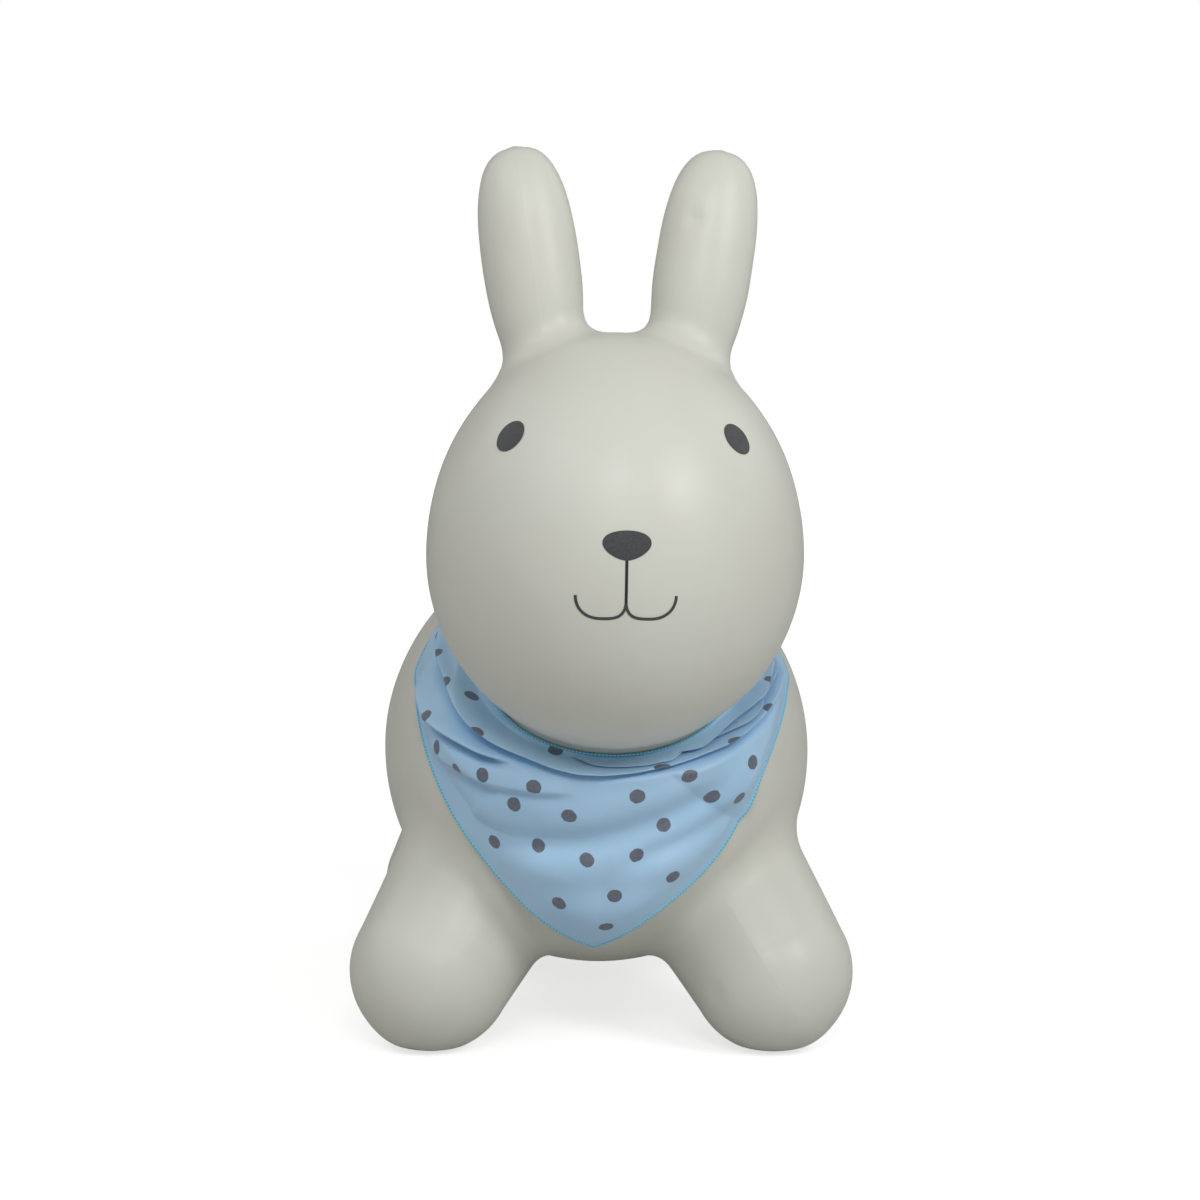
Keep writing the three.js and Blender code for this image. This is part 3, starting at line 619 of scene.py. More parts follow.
def cut_out(mesh, name, keep):
    """Copy of a mesh with only the faces whose centres keep() takes."""
    bm = bmesh.new()
    bm.from_mesh(mesh)
    lost = [face for face in bm.faces if not keep(np.array(face.calc_center_median()))]
    bmesh.ops.delete(bm, geom=lost, context="FACES")
    piece = bpy.data.meshes.new(name)
    bm.to_mesh(piece)
    bm.free()
    return piece


def ear_height(point):
    return (mirrored(point[None])[0] - ear_root) @ ear_up


def in_valve(point):
    offset = point - valve_place
    aside = np.linalg.norm(offset - (offset @ valve_axis) * valve_axis)
    return aside < VALVE_HOLE_RADIUS and point[1] > 0


def even_skin():
    """Mesh of the whole skin, with evenly spread points that lie on it."""
    mesh = rough_skin()
    edges = np.zeros(2 * len(mesh.edges), int)
    mesh.edges.foreach_get("vertices", edges)
    edges = edges.reshape(-1, 2)
    points = point_values(mesh)
    for _ in range(SKIN_SMOOTH_ROUNDS):
        points = relax(points, edges)
    for _ in range(SKIN_RELAX_ROUNDS):
        points = settle(relax(points, edges), rounds=1)
    points = settle(points, (waves(points) - 0.5) * SKIN_WAVE)
    mesh.vertices.foreach_set("co", points.ravel())
    return mesh


def split_at_ears(mesh):
    """Adds edges round the roots of both ears, where the ears are cut off."""
    bm = bmesh.new()
    bm.from_mesh(mesh)
    for side in (1, -1):
        flip = np.array((side, 1, 1))
        place = Vector((ear_root + EAR_CUT * ear_up) * flip)
        faces = [face for face in bm.faces if face.calc_center_median().x * side > 0]
        near = {part for face in faces for part in (face, *face.edges, *face.verts)}
        bmesh.ops.bisect_plane(
            bm, geom=list(near), dist=EAR_CUT_SNAP, plane_co=place, plane_no=Vector(ear_up * flip))
    bm.to_mesh(mesh)
    bm.free()


def make_skin(material):
    mesh = even_skin()
    split_at_ears(mesh)
    skin = add_object("skin", cut_out(mesh, "skin", lambda c: ear_height(c) < EAR_CUT and not in_valve(c)))
    finish_skin(skin.data, material)
    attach(skin, "skin")
    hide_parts("trunk_shell", "head_shell", "tail")
    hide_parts("front_left_leg", "front_right_leg", "rear_left_leg", "rear_right_leg")
    for name, side in (("left_ear", 1), ("right_ear", -1)):
        ear_mesh = cut_out(mesh, name, lambda c: ear_height(c) > EAR_CUT and c[0] * side > 0)
        ear = add_object("visible_" + name, ear_mesh)
        finish_skin(ear.data, material)
        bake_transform(ear)
        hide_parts(name)


# Face print

def face_points(x, level):
    """Points of the face seen from the front, just off the skin."""
    height = np.where(level > 0, head_half[2], HEAD_CHIN)
    ahead = head_half[1] * dome(x / head_half[0], level / height)
    points = head_centre + np.stack((x, -ahead, level), axis=1)
    return settle(points, PRINT_LIFT)


def bezier(a, b, c, d, steps=16):
    t = np.linspace(0, 1, steps, endpoint=False)[:, None]
    a, b, c, d = (np.array(point) for point in (a, b, c, d))
    return a * (1 - t) ** 3 + 3 * b * t * (1 - t) ** 2 + 3 * c * t * t * (1 - t) + d * t ** 3


def print_ink(name, points, faces, material):
    patch = add_object("visible_" + name, mesh_from(name, points, faces), material)
    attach(patch, "skin")
    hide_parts(name)


def disc_faces(spokes, steps):
    """Faces of a disc whose points run outwards along each spoke in turn, with its middle closed."""
    return grid_faces(spokes, steps, loop_columns=True) + [[i * steps for i in range(spokes)]]


def make_eye(name, material):
    """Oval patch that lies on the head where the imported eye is."""
    centre = centre_and_half(name)[0]
    normal = skin_normals(centre[None])[0]
    outwards = normal * (1, 0, 1)
    outwards = unit(outwards - (outwards @ normal) * normal)
    around = np.cross(normal, outwards)
    turns = np.linspace(0, 2 * math.pi, EYE_SPOKES, endpoint=False)
    shares = np.linspace(PRINT_MIDDLE_SHARE, 1, EYE_RINGS)
    ring = np.outer(EYE_SQUEEZE * np.cos(turns), outwards) + np.outer(np.sin(turns), around)
    points = centre + EYE_RADIUS * shares[None, :, None] * ring[:, None, :]
    points = settle(points.reshape(-1, 3), PRINT_LIFT)
    print_ink(name, points, disc_faces(EYE_SPOKES, EYE_RINGS), material)


def make_nose(material):
    half, top, low, widest = NOSE_WIDTH / 2, NOSE_TOP, NOSE_BOTTOM, NOSE_WIDEST
    brow = widest + NOSE_BROW_SHARE * (top - widest)
    cheek = widest - NOSE_CHEEK_SHARE * (widest - low)
    full_top, full_low = half * NOSE_TOP_FULLNESS, half * NOSE_BOTTOM_FULLNESS
    rim = np.concatenate((
        bezier((half, widest), (half, brow), (full_top, top), (0, top)),
        bezier((0, top), (-full_top, top), (-half, brow), (-half, widest)),
        bezier((-half, widest), (-half, cheek), (-full_low, low), (0, low)),
        bezier((0, low), (full_low, low), (half, cheek), (half, widest)),
    ))
    middle = np.array((0, widest))
    shares = np.linspace(PRINT_MIDDLE_SHARE, 1, NOSE_RINGS)
    flat = np.array([[middle + share * (point - middle) for share in shares] for point in rim])
    points = face_points(flat[..., 0].ravel(), flat[..., 1].ravel())
    print_ink("nose", points, disc_faces(len(rim), NOSE_RINGS), material)


def stroke_points(side):
    """Line of half the mouth: down from the nose, round and up to its end."""
    far = side * MOUTH_HALF_WIDTH
    fork, middle = (0, MOUTH_FORK), (far / 2, MOUTH_LOW)
    stem = bezier((0, NOSE_BOTTOM), (0, NOSE_BOTTOM), fork, fork)
    turn = bezier(fork, (side * MOUTH_LINE / 2, MOUTH_LOW), (far / 4, MOUTH_LOW), middle)
    rise = bezier(middle, (far * MOUTH_BEND_SHARE, MOUTH_LOW), (far, MOUTH_CHEEK), (far, MOUTH_END))
    return np.concatenate((stem, turn, rise, [(far, MOUTH_END)]))


def make_mouth(material):
    points, faces = [], []
    for side in (1, -1):
        line = stroke_points(side)
        run = unit(np.gradient(line, axis=0))
        aside = np.column_stack((-run[:, 1], run[:, 0])) * MOUTH_LINE / 2
        rows = np.stack((line - aside, line, line + aside), axis=1)
        faces += grid_faces(len(line), 3, start=3 * len(points))
        points += list(rows)
    flat = np.concatenate(points)
    print_ink("mouth", face_points(flat[:, 0], flat[:, 1]), faces, material)


# Bandana

def neck_loop():
    """Centre, radius and directions of the loop where head and trunk meet."""
    turns = np.linspace(-math.pi / 6, math.pi / 2, 4000)
    outline = trunk_centre + np.stack(
        (0 * turns, -trunk_half[1] * np.cos(turns), trunk_half[2] * np.sin(turns)), axis=1)
    inside = np.flatnonzero(egg_distance(outline, head_centre, head_half, HEAD_CHIN) < 0)
    chin, nape = outline[inside[0]], outline[inside[-1]]
    forwards = unit(chin - nape)
    upwards = np.cross(forwards, (1, 0, 0))
    return (chin + nape) / 2, np.linalg.norm(chin - nape) / 2, forwards, upwards


neck_centre, neck_radius, neck_forwards, neck_upwards = neck_loop()


def shoulder_points(angles, beyond):
    """Points of the trunk round the neck, a distance beyond the loop."""
    radius = neck_radius + beyond
    origin = neck_centre + np.outer(radius * np.cos(angles), neck_forwards)
    origin[:, 0] += radius * np.sin(angles)
    start = (origin - trunk_centre) / trunk_half
    step = neck_upwards / trunk_half
    a, b = step @ step, start @ step
    depth = np.maximum(b * b - a * ((start * start).sum(axis=1) - 1), 0)
    return origin + np.outer((np.sqrt(depth) - b) / a, neck_upwards)


def chest_points(x, z):
    ahead = trunk_half[1] * dome(x / trunk_half[0], (z - trunk_centre[2]) / trunk_half[2])
    return np.stack((x, trunk_centre[1] - ahead, z), axis=1)


def along_line(points, run, places):
    """Points of a line at places along its run."""
    return np.stack([np.interp(places, run, axis) for axis in points.T], axis=1)


def round_line(points, shares):
    """Points along a line through given points, by shares of its length, with its corners rounded."""
    run = line_run(points)
    run /= run[-1]
    shifts = np.linspace(-EDGE_ROUNDING, EDGE_ROUNDING, 9)
    plain = along_line(points, run, shares)
    averaged = np.mean([along_line(points, run, np.clip(shares + shift, 0, 1)) for shift in shifts], axis=0)
    inner = np.minimum(shares, 1 - shares)[:, None]
    keep = np.clip(inner / EDGE_ROUNDING, 0, 1)
    return plain * (1 - keep) + averaged * keep


def outer_edge(angles):
    """Outer edge of the cloth: from the tip of the bib over the shoulders to the nape."""
    turn = np.degrees(np.abs(angles))
    share = np.clip(turn / SHOULDER_ANGLE, 0, 1)
    left, right = (np.array([EDGE_TIP, *side]).T for side in (EDGE_LEFT, EDGE_RIGHT))
    left, right = (round_line(chest_points(*side), share) for side in (left, right))
    front = np.where((angles < 0)[:, None], left, right)
    towards_nape = smoothstep(turn, SHOULDER_ANGLE, COLLAR_END_ANGLE)
    behind = shoulder_points(angles, SHOULDER_WIDTH + (NAPE_WIDTH - SHOULDER_WIDTH) * towards_nape)
    mix_start, mix_end = SHOULDER_ANGLE - SHOULDER_MIX_ANGLE, SHOULDER_ANGLE + SHOULDER_MIX_ANGLE
    mix = smoothstep(turn, mix_start, mix_end)[:, None]
    return front * (1 - mix) + behind * mix


def between_on_trunk(start, end, shares):
    """Grid of points on the trunk from a row of starts to a row of ends."""
    a = unit((start - trunk_centre) / trunk_half)
    b = unit((end - trunk_centre) / trunk_half)
    turn = np.arccos(np.clip((a * b).sum(axis=1), -1, 1))[:, None, None]
    t = shares[None, :, None]
    mixed = (np.sin((1 - t) * turn) * a[:, None] + np.sin(t * turn) * b[:, None]) / np.sin(turn)
    return trunk_centre + trunk_half * mixed


def below_line(turn, depth, line):
    """How far below a soft line of (angle, depth) each point is, and how clearly the line shows there."""
    angles, depths = np.array(line).T
    shifts = np.linspace(-FOLD_SOFT_ANGLE, FOLD_SOFT_ANGLE, 7)
    soft = np.mean([np.interp(turn + shift, angles, depths) for shift in shifts], axis=0)
    fade = smoothstep(turn, angles[0], angles[0] + FOLD_FADE_ANGLE)
    fade = fade * (1 - smoothstep(turn, angles[-1] - FOLD_FADE_ANGLE, angles[-1]))
    return depth - soft[:, None], fade[:, None]


def fold_shape(turn, depth, line, crest, rise, drop, groove, groove_width):
    """Height of a fold that rises to its crest and drops into a groove, and its share of the overhang."""
    below, fade = below_line(turn, depth, line)
    ends = (line[0][0], line[-1][0])
    rise_width, groove_width = (np.interp(turn, ends, pair)[:, None] for pair in (rise, groove_width))
    ridge = bell(below, np.where(below < 0, rise_width, drop))
    hollow = (1 - ridge) * bell(below, groove_width) * (below > 0)
    return (crest * ridge - groove * hollow) * fade, ridge * fade


def valley_height(turn, depth, line, deep, width):
    below, fade = below_line(turn, depth, line)
    return -deep * bell(below, width) * fade


def pleat_height(turn, share):
    """Even pleats round the back of the neck."""
    wave = np.sin(math.pi * share) * np.sin(PLEATS * math.pi * share) ** 2
    return PLEAT_HEIGHT * wave * smoothstep(np.abs(turn), *PLEAT_ANGLES)[:, None]


def ironed_height(turn, depth, ends, rise):
    """Rise of the cloth on the outer side of a sharp straight crease that ironing has left."""
    (turn_a, depth_a), (turn_b, depth_b) = ends
    rate = (depth_b - depth_a) / (turn_b - turn_a)
    turned = turn[:, None] - turn_a - (depth - depth_a) / rate
    outwards = math.copysign(1, turn_b) * turned * IRONED_TURN_LENGTH
    outwards = np.maximum(outwards, 0) / math.hypot(1, IRONED_TURN_LENGTH / rate)
    clear = smoothstep(depth, depth_a - IRONED_START_FADE, depth_a + IRONED_START_FADE)
    clear = clear * (1 - smoothstep(depth, depth_b, depth_b + IRONED_END_FADE))
    return rise * (1 - np.exp(-outwards / IRONED_WIDTH)) * np.exp(-outwards / IRONED_REACH) * clear


def cloth_height(turn, depth, share):
    """Height of the cloth above the skin, and how far its folds hang over."""
    towards_edge = 1 - (1 - FOLD_EDGE_SHARE) * smoothstep(share, FOLD_EDGE_START, 1)
    lift = CLOTH_BODY * (1 - smoothstep(share, CLOTH_BODY_END, 1))
    lift = lift + CLOTH_PUFF * (1 - smoothstep(depth, *CLOTH_PUFF_END))
    lift = lift * smoothstep(depth, *CLOTH_PUFF_START)
    lift = lift * (1 - smoothstep(np.abs(turn), *CLOTH_PUFF_FRONT) / 2)[:, None]
    heights, leans = zip(*(fold_shape(turn, depth, **fold) for fold in FOLDS))
    height = (lift + sum(heights)) * towards_edge
    height = height + pleat_height(turn, share)
    height = height + sum(valley_height(turn, depth, **valley) for valley in VALLEYS)
    height = height + sum(ironed_height(turn, depth, **crease) for crease in IRONED_CREASES)
    return CLOTH_LIFT + np.maximum(height, 0), FOLD_OVERHANG * np.max(leans, axis=0) * towards_edge


def bandana_grid():
    """Points of the trunk under the cloth and of the cloth itself, as columns round the neck."""
    turn = np.linspace(-COLLAR_END_ANGLE, COLLAR_END_ANGLE, CLOTH_COLUMNS)
    angles = np.radians(turn)
    share = np.linspace(0, 1, CLOTH_ROWS - TUCK_ROWS) ** CLOTH_ROW_CROWDING
    tuck = np.linspace(-NECK_TUCK, 0, TUCK_ROWS, endpoint=False)
    tucked = [shoulder_points(angles, np.full(CLOTH_COLUMNS, NECK_MARGIN + step)) for step in tuck]
    top = shoulder_points(angles, np.full(CLOTH_COLUMNS, NECK_MARGIN))
    below = between_on_trunk(top, outer_edge(angles), share)
    base = np.concatenate((np.stack(tucked, axis=1), below), axis=1)
    depth = np.concatenate((np.tile(tuck, (CLOTH_COLUMNS, 1)), column_run(below)), axis=1)
    share = np.concatenate((np.zeros(TUCK_ROWS), share))[None, :]
    height, overhang = cloth_height(turn, depth, share)
    leaning = base + unit(np.gradient(base, axis=1)) * overhang[..., None]
    cloth = settle(leaning.reshape(-1, 3), height.ravel(), rounds=6).reshape(base.shape)
    hanging = smoothstep(share, CLOTH_HANG_START, 1)
    hanging = hanging * (1 - smoothstep(np.abs(turn), *CLOTH_HANG_ANGLES))[:, None]
    cloth[..., 1] -= CLOTH_HANG * hanging
    return base, cloth


def column_run(cloth):
    """Length of the cloth from its top edge down each column."""
    steps = np.linalg.norm(np.diff(cloth, axis=1), axis=2)
    return np.concatenate((np.zeros((len(cloth), 1)), np.cumsum(steps, axis=1)), axis=1)


def dot_away(base, run, centre):
    """Distance to a dot: on the trunk across the columns, and along the folded cloth down each column."""
    away = ((base - base[centre]) ** 2).sum(axis=2)
    columns = np.arange(len(base))
    row = np.clip(np.argmin(away, axis=1), 1, base.shape[1] - 2)
    above, level, below = (away[columns, row + step] for step in (-1, 0, 1))
    shift = np.clip((above - below) / 2 / np.maximum(above - 2 * level + below, TINY), -1, 1)
    across = np.sqrt(np.maximum(level - (above - below) * shift / 4, 0))
    run_there = run[columns, row] + shift * (run[columns, row + 1] - run[columns, row - 1]) / 2
    return np.hypot(across[:, None], run - run_there[:, None]).ravel()


def bandana_dots(base, cloth):
    """Distance of each point of the cloth to the nearest dot."""
    run = column_run(cloth)
    seen = pixels(cloth)
    behind_front = FRONT_PIXELS * np.linalg.norm(cloth - camera_place, axis=2)
    places = [np.linalg.norm(seen - dot, axis=2) + behind_front for dot in PHOTO_DOTS]
    behind = np.radians(np.arange(SHOULDER_ANGLE + BACK_DOT_MARGIN, COLLAR_END_ANGLE, BACK_DOT_STEP))
    beyond = np.where(np.arange(len(behind)) % 2, *BACK_DOT_ROWS)
    for side in (1, -1):
        places += [np.linalg.norm(base - place, axis=2) for place in shoulder_points(side * behind, beyond)]
    centres = [np.unravel_index(np.argmin(place), place.shape) for place in places]
    return np.min([dot_away(base, run, centre) for centre in centres], axis=0)


def cloth_mesh(name, cloth, dots, across):
    """Mesh of a grid of cloth, with what its material needs to know at each point."""
    columns, rows = cloth.shape[:2]
    mesh = mesh_from(name, cloth.reshape(-1, 3), grid_faces(columns, rows))
    store(mesh, "dot", dots)
    store(mesh, "weft", np.repeat(across, rows))
    store(mesh, "warp", column_run(cloth).ravel())
    return mesh


def make_bandana(cloth_material, thread_material):
    base, cloth = bandana_grid()
    mesh = cloth_mesh("bandana", cloth, bandana_dots(base, cloth), line_run(base[:, CLOTH_ROWS // 2]))
    bandana = add_object("bandana", mesh, cloth_material)
    hem = make_hem("visible_hem", [cloth[:, 0], cloth[:, -1]], thread_material)
    for piece, slot in ((bandana, "cloth"), (hem, "thread")):
        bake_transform(piece)
    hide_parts("scarf_collar", "scarf_bib")
    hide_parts("bib_hem")


def flat_tube(points, swell):
    """Rings round a line, flattened onto the skin, with a swell for each of its points."""
    run = unit(np.gradient(points, axis=0))
    aside = unit(np.cross(run, skin_normals(points)))
    over = np.cross(aside, run)
    turns = np.linspace(0, 2 * math.pi, HEM_SIDES, endpoint=False)
    wide = HEM_WIDTH / 2 * np.cos(turns)[None, :, None] * aside[:, None]
    thick = HEM_THICKNESS / 2 * np.sin(turns)[None, :, None] * over[:, None]
    return points[:, None] + swell[:, None, None] * (wide + thick)


def make_hem(name, lines, material):
    """Overlock thread along edges of the cloth."""
    points, faces, place = [], [], []
    plain, swollen = HEM_SWELL
    for edge in lines:
        edge_run = line_run(edge)
        run = np.arange(0, edge_run[-1], HEM_STITCH / 4)
        swell = plain + swollen * np.abs(np.sin(math.pi * run / HEM_STITCH))
        rings = flat_tube(along_line(edge, edge_run, run), swell)
        faces += grid_faces(len(run), HEM_SIDES, loop_rows=True, start=len(points))
        points += list(rings.reshape(-1, 3))
        place += list(np.repeat(run, HEM_SIDES))
    mesh = mesh_from(name, points, faces)
    store(mesh, "run", place)
    return add_object(name, mesh, material)


def knot_points(along, turns):
    """Knot with gathered cloth at both sides and a band of cloth wrapped over its middle."""
    centre, half = centre_and_half("scarf_knot")
    t, u = np.meshgrid(along, turns, indexing="ij")
    round_end = np.maximum(1 - np.abs(t) ** KNOT_ROUNDNESS, 0) ** (1 / KNOT_ROUNDNESS)
    side = smoothstep(np.abs(t), *(KNOT_WRAP_SHARE + edge for edge in KNOT_WRAP_EDGES))
    gathers = -KNOT_GATHER + KNOT_GATHER * np.abs(np.sin(KNOT_GATHERS * u + KNOT_TWIST * t))
    wrapped = KNOT_WRAP + KNOT_WRAP_FOLD * np.cos(2 * math.pi * t / KNOT_WRAP_FOLD_SHARE + np.sin(u))
    radius = round_end * (1 + side * gathers + (1 - side) * wrapped)
    return centre + half * np.stack((t, radius * np.cos(u), radius * np.sin(u)), axis=-1)


def make_knot(material):
    along = np.sin(np.linspace(-math.pi / 2, math.pi / 2, KNOT_COLUMNS))
    turns = np.linspace(0, 2 * math.pi, KNOT_ROWS)
    points = knot_points(along, turns)
    flat = points.reshape(-1, 3)
    dots = [knot_points(np.array([t]), np.array([math.radians(u)]))[0, 0] for t, u in KNOT_DOTS]
    away = np.min([np.linalg.norm(flat - dot, axis=1) for dot in dots], axis=0)
    centre, half = centre_and_half("scarf_knot")
    knot = add_object("visible_knot", cloth_mesh("knot", points, away, along * half[0]), material)
    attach(knot, "skin")
    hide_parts("scarf_knot")


def end_width(share):
    return np.interp(share, (0, END_WIDEST_SHARE, 1), (END_ROOT_WIDTH, END_WIDTH, 0))


def end_grid(side, aside, along):
    """Points of the trunk's back under a free end of the bandana."""
    knot_centre, knot_half = centre_and_half("scarf_knot")
    root_x = side * END_ROOT_WIDTH / 2
    root_y = knot_centre[1] + knot_half[1] + END_KNOT_GAP + END_ROOT_WIDTH / 2
    x = root_x + side * along * math.sin(END_ANGLE) + aside * math.cos(END_ANGLE)
    y = root_y + along * math.cos(END_ANGLE) - side * aside * math.sin(END_ANGLE)
    up = trunk_half[2] * dome(x / trunk_half[0], (y - trunk_centre[1]) / trunk_half[1])
    return np.stack((x, y, trunk_centre[2] + up), axis=-1)


def make_end(name, side, cloth_material, thread_material):
    columns = np.linspace(0, 1, END_COLUMNS)
    rows = np.linspace(-END_TUCK / END_LENGTH, 1, END_ROWS)
    s, t = np.meshgrid(columns, rows, indexing="ij")
    shifts = np.linspace(-END_ROUNDING, END_ROUNDING, 7)
    soft = np.mean([end_width(np.abs(t + shift)) for shift in shifts], axis=0)
    width = np.where(t > END_POINT_SHARE, end_width(t), soft)
    aside, along = (s - 0.5) * width, t * END_LENGTH
    folds = END_FOLD * np.sin(2 * math.pi * s + side * t) ** 2 * np.sin(math.pi * np.clip(t, 0, 1))
    gathers = END_ROOT_RISE * (1 - smoothstep(t, 0.0, END_ROOT_SHARE))
    even, wavy = END_GATHER
    gathers = gathers * (even + wavy * np.cos(2 * math.pi * END_GATHERS * s + side))
    height = CLOTH_LIFT + folds + gathers + END_TIP_RISE * np.maximum(t, 0) ** 3
    base = end_grid(side, aside, along)
    cloth = settle(base.reshape(-1, 3), height.ravel()).reshape(base.shape)
    flat = cloth.reshape(-1, 3)
    dots = [end_grid(side, side * np.array(a), np.array(b)) for a, b in END_DOTS]
    nearest = [np.argmin(np.linalg.norm(base.reshape(-1, 3) - dot, axis=1)) for dot in dots]
    away = np.min([np.linalg.norm(flat - flat[i], axis=1) for i in nearest], axis=0)
    mesh = cloth_mesh(name, cloth, away, np.linspace(0, END_WIDTH, END_COLUMNS))
    piece = add_object("visible_" + name, mesh, cloth_material)
    hem = make_hem("hem_of_" + name, [np.concatenate((cloth[0], cloth[-1][::-1]))], thread_material)
    for part, slot in ((piece, "cloth"), (hem, "thread")):
        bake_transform(part)
    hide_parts(name)


# Materials

class Nodes:
    """Short ways to add shader nodes to a material or a world."""

    def __init__(self, owner, shader="Principled BSDF"):
        owner.use_nodes = True
        self.owner = owner
        self.tree = owner.node_tree
        self.shader = self.tree.nodes[shader]

    def add(self, kind, inputs=(), **settings):
        node = self.tree.nodes.new("ShaderNode" + kind)
        for key, value in settings.items():
            setattr(node, key, value)
        for socket, value in dict(inputs).items():
            self.feed(node.inputs[socket], value)
        return node

    def feed(self, socket, value):
        if isinstance(value, bpy.types.NodeSocket):
            self.tree.links.new(value, socket)
        else:
            socket.default_value = value

    def shade(self, **inputs):
        for name, value in inputs.items():
            self.feed(self.shader.inputs[name.replace("_", " ")], value)

    def attribute(self, name):
        return self.add("Attribute", attribute_name=name).outputs["Fac"]

    def math(self, operation, a, b=0.0):
        return self.add("Math", {0: a, 1: b}, operation=operation).outputs[0]

    def noise(self, scale, detail=2.0, where=None):
        where = where or self.add("TexCoord").outputs["Object"]
        return self.add("TexNoise", {"Vector": where, "Scale": scale, "Detail": detail}).outputs["Fac"]

    def range(self, value, low, high, to_low, to_high):
        inputs = {"Value": value, "From Min": low, "From Max": high, "To Min": to_low, "To Max": to_high}
        return self.add("MapRange", inputs).outputs[0]

    def ramp(self, value, *stops):
        node = self.add("ValToRGB", {"Fac": value})
        elements = node.color_ramp.elements
        for element, (place, colour) in zip(elements, stops):
            element.position = place
            element.color = colour
        return node.outputs["Color"]

    def mix(self, share, a, b):
        node = self.add("Mix", data_type="RGBA")
        self.feed(node.inputs["Factor"], share)
        self.feed(node.inputs[6], a)
        self.feed(node.inputs[7], b)
        return node.outputs[2]

    def bump(self, height, strength, distance, before=None):
        inputs = {"Height": height, "Strength": strength, "Distance": distance}
        if before:
            inputs["Normal"] = before
        return self.add("Bump", inputs).outputs["Normal"]


def colour(red, green, blue):
    """Linear colour from the 0 to 255 values of a picture."""
    values = np.array((red, green, blue)) / 255
    linear = np.where(values <= 0.04045, values / 12.92, ((values + 0.055) / 1.055) ** 2.4)
    return (*linear.tolist(), 1.0)


def pvc_material():
    nodes = Nodes(bpy.data.materials.new("pvc"))
    blotch = nodes.noise(11, 3)
    tint = nodes.ramp(blotch, (0.3, colour(214, 214, 203)), (0.7, colour(219, 220, 209)))
    line = nodes.attribute("parting")
    ridge = nodes.math("DIVIDE", line, PARTING_WIDTH)
    ridge = nodes.math("POWER", nodes.math("ABSOLUTE", ridge), 2)
    ridge = nodes.math("DIVIDE", nodes.attribute("parting_clear"), nodes.math("ADD", ridge, 1.0))
    peel = nodes.bump(nodes.noise(900, 2), 0.06, 0.0002)
    seam = nodes.bump(ridge, 0.15, 0.0004, peel)
    rough = nodes.range(nodes.noise(40, 4), 0.3, 0.7, 0.36, 0.46)
    nodes.shade(Base_Color=tint, Roughness=rough, Normal=seam, Specular_IOR_Level=0.45)
    return nodes.owner


def ink_material():
    nodes = Nodes(bpy.data.materials.new("ink"))
    speck = nodes.noise(700, 3)
    tint = nodes.ramp(speck, (0.35, colour(60, 63, 64)), (0.65, colour(70, 72, 73)))
    rough = nodes.range(nodes.noise(120, 3), 0.3, 0.7, 0.42, 0.55)
    nodes.shade(Base_Color=tint, Roughness=rough, Normal=nodes.bump(speck, 0.1, 0.0001))
    return nodes.owner


def satin_material():
    nodes = Nodes(bpy.data.materials.new("satin"))
    weft, warp = nodes.attribute("weft"), nodes.attribute("warp")
    thread_weft = nodes.math("SINE", nodes.math("MULTIPLY", weft, 2 * math.pi / WEFT_PITCH))
    thread_warp = nodes.math("SINE", nodes.math("MULTIPLY", warp, 2 * math.pi / WARP_PITCH))
    weave = nodes.math("MULTIPLY", thread_weft, thread_warp)
    ground = nodes.ramp(nodes.noise(25, 4), (0.3, colour(171, 211, 241)), (0.7, colour(179, 218, 247)))
    dot_tint = nodes.ramp(nodes.noise(500, 3), (0.35, colour(96, 103, 118)), (0.65, colour(108, 115, 129)))
    ragged = nodes.range(nodes.noise(450, 2), 0, 1, -DOT_RAGGEDNESS, DOT_RAGGEDNESS)
    distance = nodes.math("ADD", nodes.attribute("dot"), ragged)
    dot = nodes.range(distance, DOT_RADIUS - DOT_BLUR, DOT_RADIUS + DOT_BLUR, 1, 0)
    tint = nodes.mix(dot, ground, dot_tint)
    nodes.shade(
        Base_Color=tint,
        Roughness=nodes.range(nodes.noise(60, 3), 0.3, 0.7, 0.34, 0.42),
        Specular_IOR_Level=0.7,
        Sheen_Weight=0.15,
        Sheen_Roughness=0.4,
        Normal=nodes.bump(weave, 0.25, 0.0002),
    )
    return nodes.owner


def thread_material():
    nodes = Nodes(bpy.data.materials.new("thread"))
    # Painted light and shade: along each stitch the thread is painted darker, then lighter, standing for
    # the shaded and lit sides of its loops
    stitch_shade = nodes.math("SINE", nodes.math("MULTIPLY", nodes.attribute("run"), 2 * math.pi / HEM_STITCH))
    stitch_shade = nodes.range(stitch_shade, -1, 1, 0, 1)
    # The darker stop is painted shade and the lighter stop is painted light on the same cyan thread
    tint = nodes.ramp(stitch_shade, (0.1, colour(96, 184, 218)), (0.6, colour(128, 210, 238)))
    nodes.shade(Base_Color=tint, Roughness=0.65, Normal=nodes.bump(nodes.noise(2500, 2), 0.4, 0.0002))
    return nodes.owner


def valve_material():
    nodes = Nodes(bpy.data.materials.new("valve"))
    cloud = nodes.noise(160, 3)
    tint = nodes.ramp(cloud, (0.3, colour(222, 222, 214)), (0.7, colour(232, 232, 225)))
    rough = nodes.range(cloud, 0.3, 0.7, 0.3, 0.4)
    nodes.shade(Base_Color=tint, Roughness=rough, Normal=nodes.bump(nodes.noise(1200, 2), 0.08, 0.0002))
    return nodes.owner


# Stage

def area_light(name, place, target, size, power):
    data = bpy.data.lights.new(name, "AREA")
    data.shape = "SQUARE"
    data.size = size
    data.energy = power
    light = add_object(name, data)
    light.location = place
    light.rotation_euler = (Vector(target) - Vector(place)).to_track_quat("-Z", "Y").to_euler()


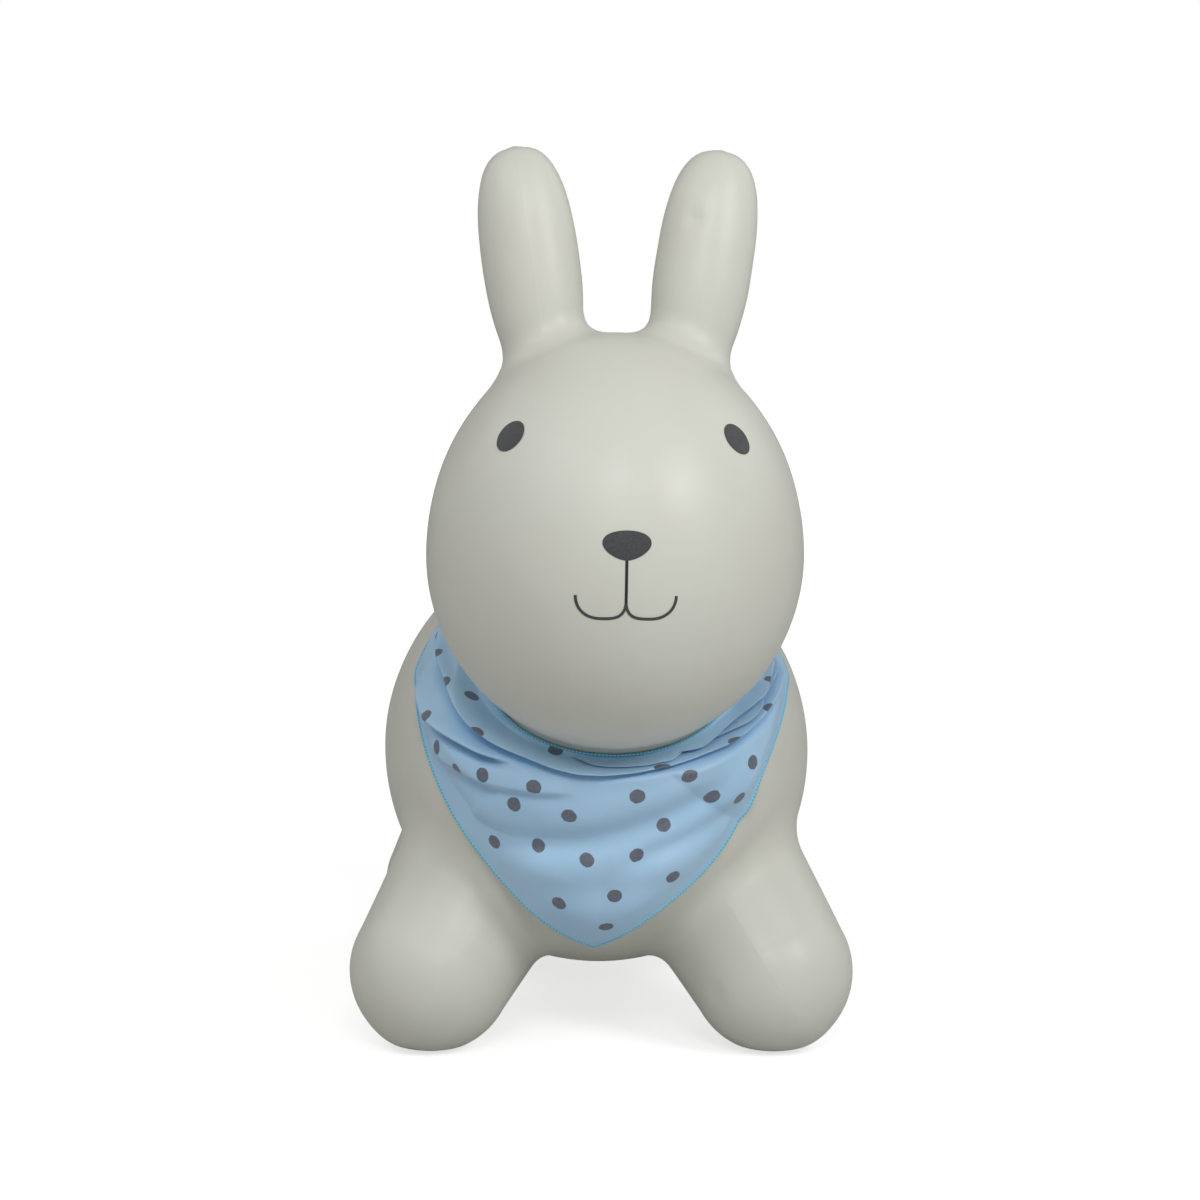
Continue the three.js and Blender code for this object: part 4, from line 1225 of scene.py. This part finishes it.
def make_world():
    """Soft light from all around, which the camera sees as white."""
    world = bpy.data.worlds.new("studio")
    bpy.context.scene.world = world
    nodes = Nodes(world, "Background")
    seen = nodes.add("LightPath").outputs["Is Camera Ray"]
    nodes.shade(Color=(1, 1, 1, 1), Strength=nodes.math("MAXIMUM", seen, SKY))


def floor_material():
    """Pale floor that looks whiter to the camera the further it is from the object."""
    nodes = Nodes(bpy.data.materials.new("floor"))
    grain = nodes.ramp(nodes.noise(3), (0.3, colour(204, 204, 204)), (0.7, colour(208, 208, 208)))
    place = nodes.add("TexCoord").outputs["Object"]
    away = nodes.add("VectorMath", {0: place}, operation="LENGTH").outputs["Value"]
    seen = nodes.add("LightPath").outputs["Is Camera Ray"]
    glow = nodes.math("MULTIPLY", seen, nodes.range(away, *FLOOR_GLOW_REACH, *FLOOR_GLOW))
    nodes.shade(Base_Color=grain, Roughness=0.9, Emission_Color=(1, 1, 1, 1), Emission_Strength=glow)
    return nodes.owner


def make_stage():
    corners = [(x * FLOOR_SIZE, y * FLOOR_SIZE, 0) for x, y in ((-1, -1), (1, -1), (1, 1), (-1, 1))]
    floor = add_object("floor", mesh_from("floor", corners, [(0, 1, 2, 3)]), floor_material())
    make_world()
    for name, (aside, above, size, power) in LAMPS.items():
        aside, above = math.radians(aside), math.radians(above)
        flat = math.cos(above)
        towards = Vector((math.sin(aside) * flat, -math.cos(aside) * flat, math.sin(above)))
        area_light(name, CAMERA_TARGET + LAMP_DISTANCE * towards, CAMERA_TARGET, size, power)


bpy.context.scene.view_settings.view_transform = "Standard"
make_camera()
make_stage()
pvc, ink, valve = pvc_material(), ink_material(), valve_material()
make_skin(pvc)
make_eye("left_eye", ink)
make_eye("right_eye", ink)
make_nose(ink)
make_mouth(ink)
satin, thread = satin_material(), thread_material()
make_bandana(satin, thread)
make_knot(satin)
make_end("left_scarf_end", 1, satin, thread)
make_end("right_scarf_end", -1, satin, thread)
for name, node in frame["nodes"].items():
    if name.startswith("valve"):
        node.data.materials.clear()
        node.data.materials.append(valve)
